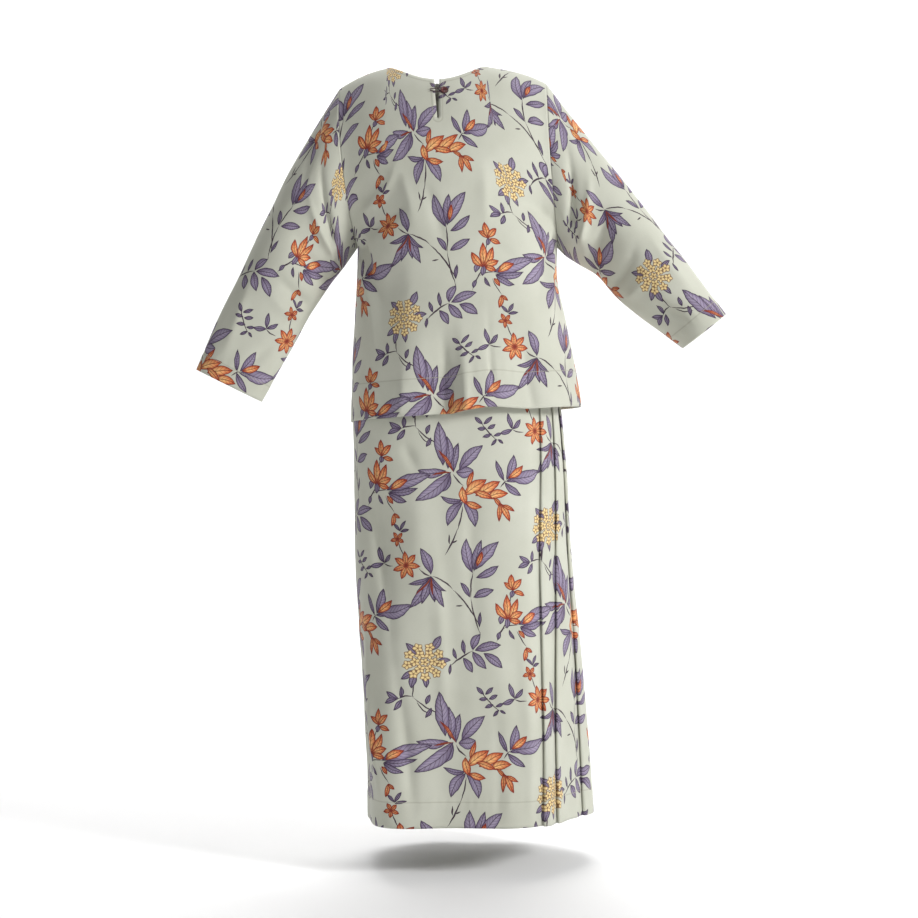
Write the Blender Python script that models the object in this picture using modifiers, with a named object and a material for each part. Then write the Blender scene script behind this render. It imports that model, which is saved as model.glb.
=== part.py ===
"""A girl's two-piece baju kurung, held as it is worn: a long-sleeved tunic over an ankle-length skirt.

Metres, +Z up. The front faces -Y and the wearer's left is +X. The origin is at the base of the neck,
level with the shoulders, where the wearer carries the outfit. A drop is a distance below that level.
"""
import bisect
import math
from collections import namedtuple

import bpy
from mathutils import Vector

COLLECTION = "two_piece_outfit"

# Cloth
WALL = 0.0012
SEAM = 0.0003
DRAPE_GAP = 0.0011

# Neck, slit and shoulders
NECK_HALF_WIDTH = 0.065
FRONT_NECK_DROP = 0.115
BACK_NECK_DROP = 0.062
SLIT_HALF_WIDTH = 0.003
SLIT_FOOT_HALF_WIDTH = 0.0012
CREST = 0.008
RIGHT_CREST_FALL = 15.0
LEFT_CREST_FALL = 8.3
RIGHT_TIP = -0.126
LEFT_TIP = 0.140
ARCH_POWER = 2.4

# Armholes
ARMPIT_DROP = 0.227
ARMHOLE_HALF_DEPTH = 0.042
EDGE_POWER = 2.4
EDGE_POWER_FROM = 0.6
RIM_POWER = 0.5
CHEST_POWER = 1.5

# Tunic hem
HEM_DROP = 0.445
HEM_TILT = 0.065
HEM_LIFT = 0.005
HEM_LIFT_AT = 0.066
HEM_LIFT_REACH = 0.055

# Skirt, waistband and pleats
WAIST_DROP = 0.262
SKIRT_HEM_DROP = 0.955
BAND_HEIGHT = 0.028
BAND_PROUD = 0.0006
BAND_WALL = 0.0024
UNDERLAP = 0.014
PLEAT_APPROACH = 0.022
APPROACH_SHARES = (-1.0, -0.66, -0.33)
FACE_SHOWING = 0.006
PLEAT_LOOP = (0.0044, 0.0080)
PLEAT_TUCK = (0.0018, 0.0032)
EDGE_STEPS = 4

# Sleeves
SLEEVE_LEAD = 0.004
SLEEVE_BLEND = 0.34

# Button and loop
BUTTON_RADIUS = 0.0042
BUTTON_THICKNESS = 0.0022
BUTTON_SIDES = 16
BUTTON_RIM = 0.35
BUTTON_OFFSET = 0.0088
BUTTON_ROW = 11
LOOP_CORD = 0.0006
LOOP_REACH = 0.0176
LOOP_HALF_TURN = 140.0
LOOP_POINTS = 14

# Mesh counts; the face columns are those of the cloth that shows after each pleat's fold edge
SHEET_COLUMNS = 24
SHOULDER_COLUMNS = 5
ROWS_BELOW_ARMPIT = 8
SKIRT_ROWS = 14
FRONT_PANEL_COLUMNS = 20
FACE_COLUMNS = (0, 3, 2)
BACK_PANEL_COLUMNS = 24
BAND_COLUMNS = 40
SLEEVE_RINGS = 13

# Heights of the rows from armpit to shoulder seam, and from armpit to neckline
SHOULDER_ROWS = (0.0, 0.02, 0.07, 0.15, 0.25, 0.37, 0.50, 0.63, 0.75, 0.86, 0.94, 0.985, 0.9998, 1.0)
NECK_ROWS = (0.0, 0.03, 0.09, 0.17, 0.27, 0.38, 0.50, 0.62, 0.74, 0.83, 0.89, 0.93, 0.965, 1.0)
NECK_ROW_SPREAD = 0.35
SLIT_ROW = 8

# The line that both garments are measured from, which leans to the wearer's left
Spine = namedtuple("Spine", "drop x")
SPINE = (
    Spine(0.225, 0.026),
    Spine(0.420, 0.030),
    Spine(0.500, 0.031),
    Spine(0.620, 0.034),
    Spine(0.750, 0.044),
    Spine(0.880, 0.053),
    Spine(0.955, 0.0565),
)

# A section's reach: to the wearer's right and left as places, to the front and back as depths
Level = namedtuple("Level", "drop right left front back")
TUNIC_LEVELS = (
    Level(0.227, -0.103, 0.155, 0.095, 0.090),
    Level(0.270, -0.104, 0.155, 0.098, 0.093),
    Level(0.321, -0.106, 0.166, 0.105, 0.101),
    Level(0.373, -0.109, 0.176, 0.112, 0.109),
    Level(0.424, -0.1095, 0.184, 0.117, 0.116),
    Level(0.460, -0.1090, 0.188, 0.119, 0.119),
)
SKIRT_LEVELS = (
    Level(0.262, -0.074, 0.126, 0.080, 0.078),
    Level(0.340, -0.095, 0.146, 0.094, 0.094),
    Level(0.420, -0.1078, 0.158, 0.104, 0.106),
    Level(0.502, -0.1070, 0.166, 0.108, 0.112),
    Level(0.619, -0.1060, 0.173, 0.112, 0.115),
    Level(0.748, -0.098, 0.186, 0.116, 0.118),
    Level(0.877, -0.091, 0.197, 0.120, 0.122),
    Level(0.955, -0.089, 0.202, 0.122, 0.125),
)

# How square a section is at the wearer's right and left, and how far from the middle one becomes the other
TUNIC_SQUARENESS = (2.5, 2.4)
SKIRT_SQUARENESS = (3.0, 2.35)
SQUARENESS_BLEND = 0.7

# Soft folds: angle round the section in degrees (180 right, 270 front, 360 left, 90 back), reach to each
# side, height (a ridge is above 0), the drops where it starts, is full and ends, and what is left there
Fold = namedtuple("Fold", "angle reach height start full end share")
TUNIC_FOLDS = (
    Fold(222, 17, -0.0060, 0.235, 0.290, 0.400, 0.2),
    Fold(240, 12, 0.0030, 0.300, 0.420, 0.460, 1.0),
    Fold(257, 13, -0.0050, 0.300, 0.430, 0.460, 1.0),
    Fold(281, 19, 0.0080, 0.290, 0.440, 0.460, 1.0),
    Fold(307, 12, -0.0035, 0.320, 0.400, 0.460, 0.7),
    Fold(328, 13, 0.0045, 0.340, 0.440, 0.460, 1.0),
    Fold(48, 15, 0.0050, 0.300, 0.440, 0.460, 1.0),
    Fold(72, 14, -0.0060, 0.270, 0.430, 0.460, 1.0),
    Fold(98, 17, 0.0070, 0.310, 0.440, 0.460, 1.0),
    Fold(126, 13, -0.0050, 0.260, 0.360, 0.460, 0.8),
)
SKIRT_FOLDS = (
    Fold(226, 20, -0.0070, 0.480, 0.590, 0.740, 0.0),
    Fold(225, 25, 0.0190, 0.600, 0.920, 0.955, 1.0),
    Fold(256, 16, -0.0035, 0.440, 0.620, 0.955, 0.4),
    Fold(285, 14, 0.0025, 0.600, 0.800, 0.955, 1.0),
    Fold(332, 28, -0.0180, 0.560, 0.940, 0.955, 1.0),
    Fold(38, 14, -0.0050, 0.420, 0.700, 0.955, 1.0),
    Fold(62, 15, 0.0060, 0.460, 0.800, 0.955, 1.0),
    Fold(88, 15, -0.0055, 0.440, 0.640, 0.955, 0.6),
    Fold(115, 18, 0.0065, 0.500, 0.860, 0.955, 1.0),
    Fold(148, 14, -0.0050, 0.380, 0.600, 0.955, 0.7),
)

# Angles of the three pleats' fold edges, in degrees before the wearer's left side seam
Pleats = namedtuple("Pleats", "drop first second third")
PLEATS = (
    Pleats(0.262, 34.0, 22.0, 9.0),
    Pleats(0.450, 37.0, 25.0, 10.5),
    Pleats(0.630, 42.5, 30.0, 12.0),
    Pleats(0.955, 54.5, 42.5, 14.0),
)

# Sleeve sections: share of the length, the upper edge's place, the lower edge's place, and how deep and
# how far forward the section is
Ring = namedtuple("Ring", "share upper_x upper_z lower_x lower_z half_depth forward")
RIGHT_SLEEVE = (
    Ring(0.00, -0.126, -0.023, -0.103, -0.227, 0.042, 0.000),
    Ring(0.10, -0.151, -0.062, -0.112, -0.240, 0.045, 0.001),
    Ring(0.22, -0.182, -0.113, -0.122, -0.255, 0.046, 0.004),
    Ring(0.36, -0.212, -0.174, -0.137, -0.276, 0.045, 0.009),
    Ring(0.52, -0.237, -0.228, -0.156, -0.307, 0.041, 0.015),
    Ring(0.68, -0.260, -0.278, -0.177, -0.343, 0.036, 0.021),
    Ring(0.84, -0.284, -0.329, -0.200, -0.383, 0.030, 0.027),
    Ring(1.00, -0.307, -0.386, -0.224, -0.427, 0.023, 0.033),
)
LEFT_SLEEVE = (
    Ring(0.00, 0.140, -0.017, 0.155, -0.227, 0.042, 0.000),
    Ring(0.10, 0.168, -0.053, 0.166, -0.238, 0.045, 0.002),
    Ring(0.22, 0.201, -0.095, 0.183, -0.250, 0.047, 0.007),
    Ring(0.36, 0.238, -0.140, 0.206, -0.266, 0.046, 0.015),
    Ring(0.52, 0.273, -0.188, 0.229, -0.294, 0.043, 0.025),
    Ring(0.68, 0.303, -0.230, 0.258, -0.320, 0.039, 0.036),
    Ring(0.84, 0.333, -0.273, 0.286, -0.342, 0.035, 0.047),
    Ring(1.00, 0.365, -0.317, 0.311, -0.360, 0.031, 0.058),
)

# Sleeve folds: share of the length, angle round it in degrees (0 below, 90 front, 180 above, 270 back),
# how far each reaches in share and angle, and its height (a ridge is above 0)
Dent = namedtuple("Dent", "share angle share_reach angle_reach height")
RIGHT_DENTS = (
    Dent(0.30, 70, 0.16, 50, -0.0060),
    Dent(0.47, 110, 0.12, 46, 0.0030),
    Dent(0.58, 40, 0.11, 48, -0.0050),
    Dent(0.80, 95, 0.20, 38, -0.0035),
    Dent(0.42, 285, 0.15, 52, -0.0055),
    Dent(0.74, 260, 0.16, 44, -0.0040),
)
LEFT_DENTS = (
    Dent(0.28, 60, 0.17, 46, -0.0065),
    Dent(0.52, 48, 0.16, 40, -0.0050),
    Dent(0.66, 100, 0.18, 40, 0.0025),
    Dent(0.84, 40, 0.13, 42, -0.0040),
    Dent(0.36, 280, 0.15, 50, -0.0055),
    Dent(0.68, 300, 0.16, 42, -0.0045),
)

Finish = namedtuple("Finish", "colour roughness metallic")
FINISHES = {
    "printed_cloth": Finish((0.56, 0.58, 0.50, 1.0), 0.85, 0.0),
    "waistband_cloth": Finish((0.52, 0.54, 0.47, 1.0), 0.85, 0.0),
    "plum_button": Finish((0.075, 0.035, 0.060, 1.0), 0.40, 0.0),
    "plum_cord": Finish((0.060, 0.030, 0.050, 1.0), 0.75, 0.0),
}


def smooth(value, low, high):
    """0 below low, 1 above high, and an eased rise between."""
    share = min(max((value - low) / (high - low), 0.0), 1.0)
    return share * share * (3.0 - 2.0 * share)


def mix(first, second, share):
    return first + (second - first) * share


def read(table, column, place):
    """A column of a table where its first column is at a place, on a smooth curve through the rows."""
    places = [row[0] for row in table]
    values = [getattr(row, column) for row in table]
    last = len(table) - 1
    place = min(max(place, places[0]), places[last])
    start = min(bisect.bisect_right(places, place), last) - 1

    def slope(row):
        low = max(row - 1, 0)
        high = min(row + 1, last)
        return (values[high] - values[low]) / (places[high] - places[low])

    span = places[start + 1] - places[start]
    t = (place - places[start]) / span
    ease = t * t * (3.0 - 2.0 * t)
    pull_out = t * (1.0 - t) ** 2 * span * slope(start)
    pull_in = t * t * (1.0 - t) * span * slope(start + 1)
    return mix(values[start], values[start + 1], ease) + pull_out - pull_in


def fold_height(folds, angle, drop):
    """How far the soft folds move the cloth outwards at an angle and a drop."""
    height = 0.0
    for fold in folds:
        away = (angle - fold.angle + 180.0) % 360.0 - 180.0
        if abs(away) >= fold.reach:
            continue
        shape = math.cos(math.pi / 2.0 * away / fold.reach) ** 2
        growth = smooth(drop, fold.start, fold.full)
        fading = mix(1.0, fold.share, smooth(drop, fold.full, fold.end))
        height += fold.height * shape * growth * fading
    return height


def section_radius(levels, squareness, angle, drop):
    """Distance from the spine to a section's outline, for an angle in degrees."""
    spine = read(SPINE, "x", drop)
    across = math.cos(math.radians(angle))
    along = math.sin(math.radians(angle))
    right_power, left_power = squareness
    power = mix(right_power, left_power, smooth(across, -SQUARENESS_BLEND, SQUARENESS_BLEND))
    if across > 0.0:
        half_width = read(levels, "left", drop) - spine
    else:
        half_width = spine - read(levels, "right", drop)
    depth = read(levels, "back" if along > 0.0 else "front", drop)
    return ((abs(across) / half_width) ** power + (abs(along) / depth) ** power) ** (-1.0 / power)


def skirt_radius(angle, drop):
    return section_radius(SKIRT_LEVELS, SKIRT_SQUARENESS, angle, drop) + fold_height(SKIRT_FOLDS, angle, drop)


def tunic_radius(angle, drop):
    """The tunic's outline, kept just clear of the skirt that it hangs on."""
    radius = section_radius(TUNIC_LEVELS, TUNIC_SQUARENESS, angle, drop)
    radius += fold_height(TUNIC_FOLDS, angle, drop)
    return max(radius, skirt_radius(angle, drop) + WALL + DRAPE_GAP)


def around(angle, radius, drop):
    """The point at an angle and a radius from the spine."""
    turn = math.radians(angle)
    x = read(SPINE, "x", drop) + radius * math.cos(turn)
    return Vector((x, radius * math.sin(turn), -drop))


def seam_angle(radius):
    """The angle of half a seam gap."""
    return math.degrees(SEAM / 2.0 / radius)


def tunic_angles(start, drop):
    """Angles of a sheet's columns, from one side seam to the other."""
    first = start + seam_angle(tunic_radius(start, drop))
    last = start + 180.0 - seam_angle(tunic_radius(start + 180.0, drop))
    return [mix(first, last, i / (SHEET_COLUMNS - 1)) for i in range(SHEET_COLUMNS)]


def hem_drop(angle):
    """The tunic's hem, which is lower at the wearer's right and lifts over the front ridge."""
    x = around(angle, tunic_radius(angle, HEM_DROP), HEM_DROP).x
    drop = HEM_DROP - HEM_TILT * x
    if math.sin(math.radians(angle)) < 0.0:
        away = min(abs(x - HEM_LIFT_AT) / HEM_LIFT_REACH, 1.0)
        drop -= HEM_LIFT * math.cos(math.pi / 2.0 * away) ** 2
    return drop


def lower_rows(start):
    """Rows of a tunic sheet from its hem up to the row below the armpits."""
    rows = []
    for j in range(ROWS_BELOW_ARMPIT):
        share = j / ROWS_BELOW_ARMPIT
        row = []
        for angle in tunic_angles(start, ARMPIT_DROP):
            drop = mix(hem_drop(angle), ARMPIT_DROP, share)
            row.append(around(angle, tunic_radius(angle, drop), drop))
        rows.append(row)
    return rows


def top_edge(neck_drop):
    """For each column: its x on the shoulder seam or neckline, and its share of the full height there."""
    edge = []
    neck_columns = SHEET_COLUMNS - 2 * SHOULDER_COLUMNS
    slit_angle = math.asin(SLIT_HALF_WIDTH / NECK_HALF_WIDTH)
    half = neck_columns // 2 - 1
    for i in range(SHEET_COLUMNS):
        from_right = i
        from_left = SHEET_COLUMNS - 1 - i
        if from_right < SHOULDER_COLUMNS:
            edge.append((mix(RIGHT_TIP, -NECK_HALF_WIDTH, from_right / SHOULDER_COLUMNS), 1.0))
        elif from_left < SHOULDER_COLUMNS:
            edge.append((mix(LEFT_TIP, NECK_HALF_WIDTH, from_left / SHOULDER_COLUMNS), 1.0))
        else:
            side = -1.0 if i < SHEET_COLUMNS / 2 else 1.0
            from_point = min(from_right, from_left) - SHOULDER_COLUMNS
            turn = mix(math.pi / 2.0, slit_angle, from_point / half)
            share = 1.0 - neck_drop * math.cos(turn) ** ARCH_POWER
            edge.append((side * NECK_HALF_WIDTH * math.sin(turn), share))
    return edge


def crest_height(x):
    """Height of the line over the shoulders, which falls with the cube of the distance from the neck."""
    fall = LEFT_CREST_FALL if x > 0.0 else RIGHT_CREST_FALL
    return CREST - fall * abs(x) ** 3


def edge_x(foot, tip, share):
    """How a column leans from its foot at the armpit level to its top."""
    return mix(foot, tip, 1.0 - (1.0 - share) ** 2)


def foot_shape(feet, place):
    """Depth of the armpit row at a share of the way across it, as a share of its greatest depth."""
    width = feet[-1].x - feet[0].x
    full_depth = max(abs(foot.y) for foot in feet)
    i = next((i for i in range(len(feet) - 2) if (feet[i + 1].x - feet[0].x) / width > place), len(feet) - 2)
    low = (feet[i].x - feet[0].x) / width
    high = (feet[i + 1].x - feet[0].x) / width
    return mix(abs(feet[i].y), abs(feet[i + 1].y), (place - low) / (high - low)) / full_depth


def upper_rows(start, neck_drop):
    """Rows of a tunic sheet from the armpits up over the chest or back, to the shoulders and neck."""
    facing = -1.0 if start == 180.0 else 1.0
    feet = [around(a, tunic_radius(a, ARMPIT_DROP), ARMPIT_DROP) for a in tunic_angles(start, ARMPIT_DROP)]
    edge = top_edge(neck_drop)
    if facing > 0.0:
        edge.reverse()
    full_depth = max(abs(foot.y) for foot in feet)
    rows = []
    for shoulder_share, neck_share in zip(SHOULDER_ROWS, NECK_ROWS):
        row = []
        for foot, (top_x, top_share) in zip(feet, edge):
            toward_middle = ((1.0 - top_share) / neck_drop) ** NECK_ROW_SPREAD
            share = mix(shoulder_share, neck_share, toward_middle) * top_share
            x = edge_x(foot.x, top_x, share / top_share)
            z = mix(-ARMPIT_DROP, crest_height(top_x), share)
            first = edge_x(feet[0].x, edge[0][0], share)
            last = edge_x(feet[-1].x, edge[-1][0], share)
            shape = foot_shape(feet, (x - first) / (last - first))
            arch = full_depth * max(1.0 - share ** ARCH_POWER, 0.0) ** (1.0 / ARCH_POWER)
            roundness = mix(RIM_POWER, CHEST_POWER, min(2.0 * shape, 1.0))
            rim = ARMHOLE_HALF_DEPTH * max(1.0 - (2.0 * share - 1.0) ** 2, 0.0) ** roundness
            power = mix(1.0, EDGE_POWER, smooth(share, 0.0, EDGE_POWER_FROM))
            depth = max(mix(rim, arch, shape ** power), SEAM / 2.0)
            row.append(Vector((x, facing * depth, z)))
        rows.append(row)
    return rows


def narrow_slit(rows):
    """Bring the two middle columns together beside the slit, as wide as the slit is at each height."""
    left = SHEET_COLUMNS // 2
    right = left - 1
    foot = ROWS_BELOW_ARMPIT + SLIT_ROW
    top = len(rows) - 1
    for j in range(foot, top + 1):
        half = mix(SLIT_FOOT_HALF_WIDTH, SLIT_HALF_WIDTH, (j - foot) / (top - foot))
        middle = (rows[j][left].x + rows[j][right].x) / 2.0
        rows[j][left].x = middle + half
        rows[j][right].x = middle - half


def tunic_sheet(start, neck_drop):
    """All rows of the front (start 180) or the back (start 0), each from one side to the other."""
    return lower_rows(start) + upper_rows(start, neck_drop)


def armhole(front, back, column):
    """The armhole's loop, from the armpit up the front edge and down the back edge, with the points inside."""
    back_column = SHEET_COLUMNS - 1 - column
    inward = 1 if column == 0 else -1
    loop = []
    for row in range(ROWS_BELOW_ARMPIT, len(front)):
        loop.append((front[row][column], front[row][column + inward]))
    for row in range(len(back) - 2, ROWS_BELOW_ARMPIT, -1):
        loop.append((back[row][back_column], back[row][back_column - inward]))
    rim = [point for point, inside in loop]
    rim[0] = (front[ROWS_BELOW_ARMPIT][column] + back[ROWS_BELOW_ARMPIT][back_column]) / 2.0
    top = len(SHOULDER_ROWS) - 1
    rim[top] = (front[-1][column] + back[-1][back_column]) / 2.0
    leads = []
    for k, (point, inside) in enumerate(loop):
        along = rim[(k + 1) % len(rim)] - rim[k - 1]
        normal = (point - inside).cross(along)
        lead = along.cross(normal).normalized()
        if lead.dot(point - inside) < 0.0:
            lead.negate()
        leads.append(lead)
    leads[0] = Vector((0.0, 0.0, 1.0))
    return rim, leads


def dent_height(dents, share, angle):
    """How far a sleeve's folds move its cloth outwards."""
    height = 0.0
    for dent in dents:
        away = (angle - dent.angle + 180.0) % 360.0 - 180.0
        along = (share - dent.share) / dent.share_reach
        across = away / dent.angle_reach
        height += dent.height * math.exp(-along * along - across * across)
    return height


def sleeve_point(rings, dents, share, angle):
    """A point of a sleeve: 0 degrees is below the arm, 90 in front, 180 above and 270 behind."""
    upper = Vector((read(rings, "upper_x", share), 0.0, read(rings, "upper_z", share)))
    lower = Vector((read(rings, "lower_x", share), 0.0, read(rings, "lower_z", share)))
    forward = Vector((0.0, -read(rings, "forward", share), 0.0))
    turn = math.radians(angle)
    half = (lower - upper) / 2.0
    arm = half * math.cos(turn) + Vector((0.0, -read(rings, "half_depth", share) * math.sin(turn), 0.0))
    arm += arm.normalized() * dent_height(dents, share, angle) * smooth(share, 0.0, SLEEVE_BLEND)
    return (upper + lower) / 2.0 + forward + arm


def sleeve_rings(rings, dents, rim, leads):
    """Rings of a sleeve: the first lies a seam gap from the armhole, and the last is the open cuff."""
    count = len(rim)
    top = len(SHOULDER_ROWS) - 1
    start_angles = [math.degrees(math.acos(1.0 - 2.0 * share)) for share in SHOULDER_ROWS]
    start_angles += [360.0 - angle for angle in reversed(start_angles[1:top])]
    arm = sleeve_point(rings, (), 1.0, 0.0) - sleeve_point(rings, (), 0.0, 0.0)
    arm.normalize()
    first = [point + lead * SEAM for point, lead in zip(rim, leads)]
    heading = [mix(arm, lead, smooth(point.z, -ARMPIT_DROP, 0.0)).normalized()
               for point, lead in zip(first, leads)]
    loft = [first, [point + way * SLEEVE_LEAD for point, way in zip(first, heading)]]
    for j in range(1, SLEEVE_RINGS):
        share = j / (SLEEVE_RINGS - 1)
        blend = smooth(share, 0.0, SLEEVE_BLEND)
        ring = []
        for k in range(count):
            angle = mix(start_angles[k], 360.0 * k / count, blend)
            shape = sleeve_point(rings, dents, share, angle)
            start_shape = sleeve_point(rings, (), 0.0, start_angles[k])
            ring.append(shape + (first[k] - start_shape) * (1.0 - blend))
        loft.append(ring)
    return loft


def pleat_sizes(drop):
    """Depth of a pleat's loop and of its tuck, which both open towards the hem."""
    share = smooth(drop, WAIST_DROP, SKIRT_HEM_DROP)
    return mix(*PLEAT_LOOP, share), mix(*PLEAT_TUCK, share)


def degrees_per_metre(angle, drop):
    return math.degrees(1.0 / skirt_radius(angle, drop))


def pleat_stations(edge, approach, dip, drop):
    """One knife pleat as angles and depths: its approach, underlay, tuck, return and rounded fold edge.

    The edge is the angle of its fold. The cloth before it dips over the approach, and its own face dips
    again over the stretch between the two places in dip, under the next pleat.
    """
    loop, tuck = pleat_sizes(drop)
    whole = loop + tuck
    turn = degrees_per_metre(edge, drop)
    course = [(share * approach, whole * smooth(share, -1.0, 0.0)) for share in APPROACH_SHARES]

    def add(place, depth):
        course.append((place, depth + whole * smooth(place, *dip)))

    for place in (0.0, UNDERLAP / 2.0, UNDERLAP):
        add(place, whole)
    add(UNDERLAP + tuck / 2.0, loop + tuck / 2.0)
    for place in (UNDERLAP, UNDERLAP / 2.0, loop / 2.0):
        add(place, loop)
    for step in range(1, EDGE_STEPS + 1):
        nose = math.pi * step / EDGE_STEPS
        add(loop / 2.0 * (1.0 - math.sin(nose)), loop / 2.0 * (1.0 + math.cos(nose)))
    return [(edge + place * turn, depth) for place, depth in course]


def skirt_front_row(drop):
    """The front panel, its three pleats and the face that runs on to the wearer's left side seam."""
    edges = [360.0 - read(PLEATS, name, drop) for name in Pleats._fields[1:]]
    start = 180.0 + seam_angle(skirt_radius(180.0, drop))
    finish = 360.0 - seam_angle(skirt_radius(0.0, drop))
    approach = PLEAT_APPROACH
    panel_end = edges[0] - approach * degrees_per_metre(edges[0], drop)
    stations = [(mix(start, panel_end, i / FRONT_PANEL_COLUMNS), 0.0) for i in range(FRONT_PANEL_COLUMNS)]
    for edge, following, columns in zip(edges, edges[1:] + [finish], FACE_COLUMNS):
        gap = (following - edge) / degrees_per_metre(edge, drop)
        next_approach = min(PLEAT_APPROACH, gap - FACE_SHOWING)
        if following == finish:
            next_approach = 0.0
        dip = (gap - next_approach, gap + SEAM)
        stations += pleat_stations(edge, approach, dip, drop)
        face_start = pleat_sizes(drop)[0] / 2.0
        for i in range(1, columns + 1):
            place = mix(face_start, gap - next_approach, i / (columns + 1))
            stations.append((edge + place * degrees_per_metre(edge, drop), 0.0))
        approach = next_approach
    stations.append((finish, 0.0))
    return [around(angle, skirt_radius(angle, drop) - depth, drop) for angle, depth in stations]


def skirt_back_row(drop):
    start = seam_angle(skirt_radius(0.0, drop))
    finish = 180.0 - seam_angle(skirt_radius(180.0, drop))
    angles = [mix(start, finish, i / (BACK_PANEL_COLUMNS - 1)) for i in range(BACK_PANEL_COLUMNS)]
    return [around(angle, skirt_radius(angle, drop), drop) for angle in angles]


def skirt_rows(row_at):
    """Rows of a skirt panel, from the hem up."""
    return [row_at(mix(SKIRT_HEM_DROP, WAIST_DROP, j / SKIRT_ROWS)) for j in range(SKIRT_ROWS + 1)]


def waistband_rings():
    """A casing that stands on the skirt's top edge."""
    rings = []
    bottom = WAIST_DROP - SEAM
    for drop in (bottom, bottom - BAND_HEIGHT / 2.0, bottom - BAND_HEIGHT):
        ring = []
        for i in range(BAND_COLUMNS):
            angle = 360.0 * i / BAND_COLUMNS
            point = around(angle, skirt_radius(angle, WAIST_DROP) + BAND_PROUD, WAIST_DROP)
            point.z = -drop
            ring.append(point)
        rings.append(ring)
    return rings


def finish_material(name, finish):
    material = bpy.data.materials.new(name)
    material.use_nodes = True
    material.diffuse_color = finish.colour
    shader = material.node_tree.nodes["Principled BSDF"]
    shader.inputs["Base Color"].default_value = finish.colour
    shader.inputs["Roughness"].default_value = finish.roughness
    shader.inputs["Metallic"].default_value = finish.metallic
    return material


def link(thing, name, finish, collection):
    """Name an object, give it its own material and put it in the outfit's collection."""
    thing.name = name
    thing.data.name = name
    thing.data.materials.clear()
    thing.data.materials.append(finish_material(f"{name}_{finish}", FINISHES[finish]))
    for owner in list(thing.users_collection):
        owner.objects.unlink(thing)
    collection.objects.link(thing)
    return thing


def cloth(name, rows, finish, collection, closed=False, wall=WALL, left_out=()):
    """A wall of cloth through rows of points, with the first rows lowest and its outer side given."""
    width = len(rows[0])
    faces = []
    for j in range(len(rows) - 1):
        for i in range(width if closed else width - 1):
            if (j, i) in left_out:
                continue
            right = (i + 1) % width
            faces.append((j * width + i, j * width + right, (j + 1) * width + right, (j + 1) * width + i))
    mesh = bpy.data.meshes.new(name)
    mesh.from_pydata([point for row in rows for point in row], [], faces)
    mesh.shade_smooth()
    thing = bpy.data.objects.new(name, mesh)
    solidify = thing.modifiers.new("wall", "SOLIDIFY")
    solidify.thickness = wall
    solidify.offset = -1.0
    solidify.use_even_offset = True
    return link(thing, name, finish, collection)


def panel_point(rows, row, x):
    """The place on a sheet's row at an x, and the sheet's outward direction there."""
    line = rows[row]
    column = next(i for i in range(len(line) - 1) if line[i].x <= x <= line[i + 1].x)
    share = (x - line[column].x) / (line[column + 1].x - line[column].x)
    place = mix(line[column], line[column + 1], share)
    above = mix(rows[row + 1][column], rows[row + 1][column + 1], share)
    below = mix(rows[row - 1][column], rows[row - 1][column + 1], share)
    across = line[column + 1] - line[column]
    return place, across.cross(above - below).normalized()


def button_place(front):
    """The place of the button's foot on the panel, and the panel's outward direction there."""
    row = ROWS_BELOW_ARMPIT + BUTTON_ROW
    middle = (front[row][SHEET_COLUMNS // 2].x + front[row][SHEET_COLUMNS // 2 - 1].x) / 2.0
    return panel_point(front, row, middle + BUTTON_OFFSET)


def button(front, collection):
    """A small domed button, sewn beside the slit."""
    place, outward = button_place(front)
    bpy.ops.mesh.primitive_cylinder_add(vertices=BUTTON_SIDES, radius=BUTTON_RADIUS, depth=BUTTON_THICKNESS)
    thing = bpy.context.object
    thing.location = place + outward * (SEAM + BUTTON_THICKNESS / 2.0)
    thing.rotation_euler = outward.to_track_quat("Z", "Y").to_euler()
    bevel = thing.modifiers.new("rim", "BEVEL")
    bevel.width = BUTTON_THICKNESS * BUTTON_RIM
    bevel.segments = 2
    bevel.angle_limit = math.radians(60.0)
    bevel.limit_method = "ANGLE"
    thing.data.shade_smooth()
    return link(thing, "button", "plum_button", collection)


def button_loop(front, collection):
    """A cord loop, sewn at the other side of the slit and passed round the button."""
    place, outward = button_place(front)
    across = Vector((1.0, 0.0, 0.0))
    across = (across - outward * across.dot(outward)).normalized()
    up = outward.cross(across)
    radius = BUTTON_RADIUS + LOOP_CORD + SEAM
    centre = place + outward * (SEAM + LOOP_CORD)
    foot = centre - across * LOOP_REACH
    points = [foot + up * LOOP_CORD * 2.0]
    for i in range(LOOP_POINTS + 1):
        turn = math.radians(mix(LOOP_HALF_TURN, -LOOP_HALF_TURN, i / LOOP_POINTS))
        points.append(centre + across * radius * math.cos(turn) + up * radius * math.sin(turn))
    points.append(foot - up * LOOP_CORD * 2.0)
    curve = bpy.data.curves.new("button_loop", "CURVE")
    curve.dimensions = "3D"
    curve.bevel_depth = LOOP_CORD
    curve.bevel_resolution = 2
    curve.use_fill_caps = True
    spline = curve.splines.new("POLY")
    spline.points.add(len(points) - 1)
    for target, point in zip(spline.points, points):
        target.co = (*point, 1.0)
    thing = bpy.data.objects.new("button_loop", curve)
    return link(thing, "button_loop", "plum_cord", collection)


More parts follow.
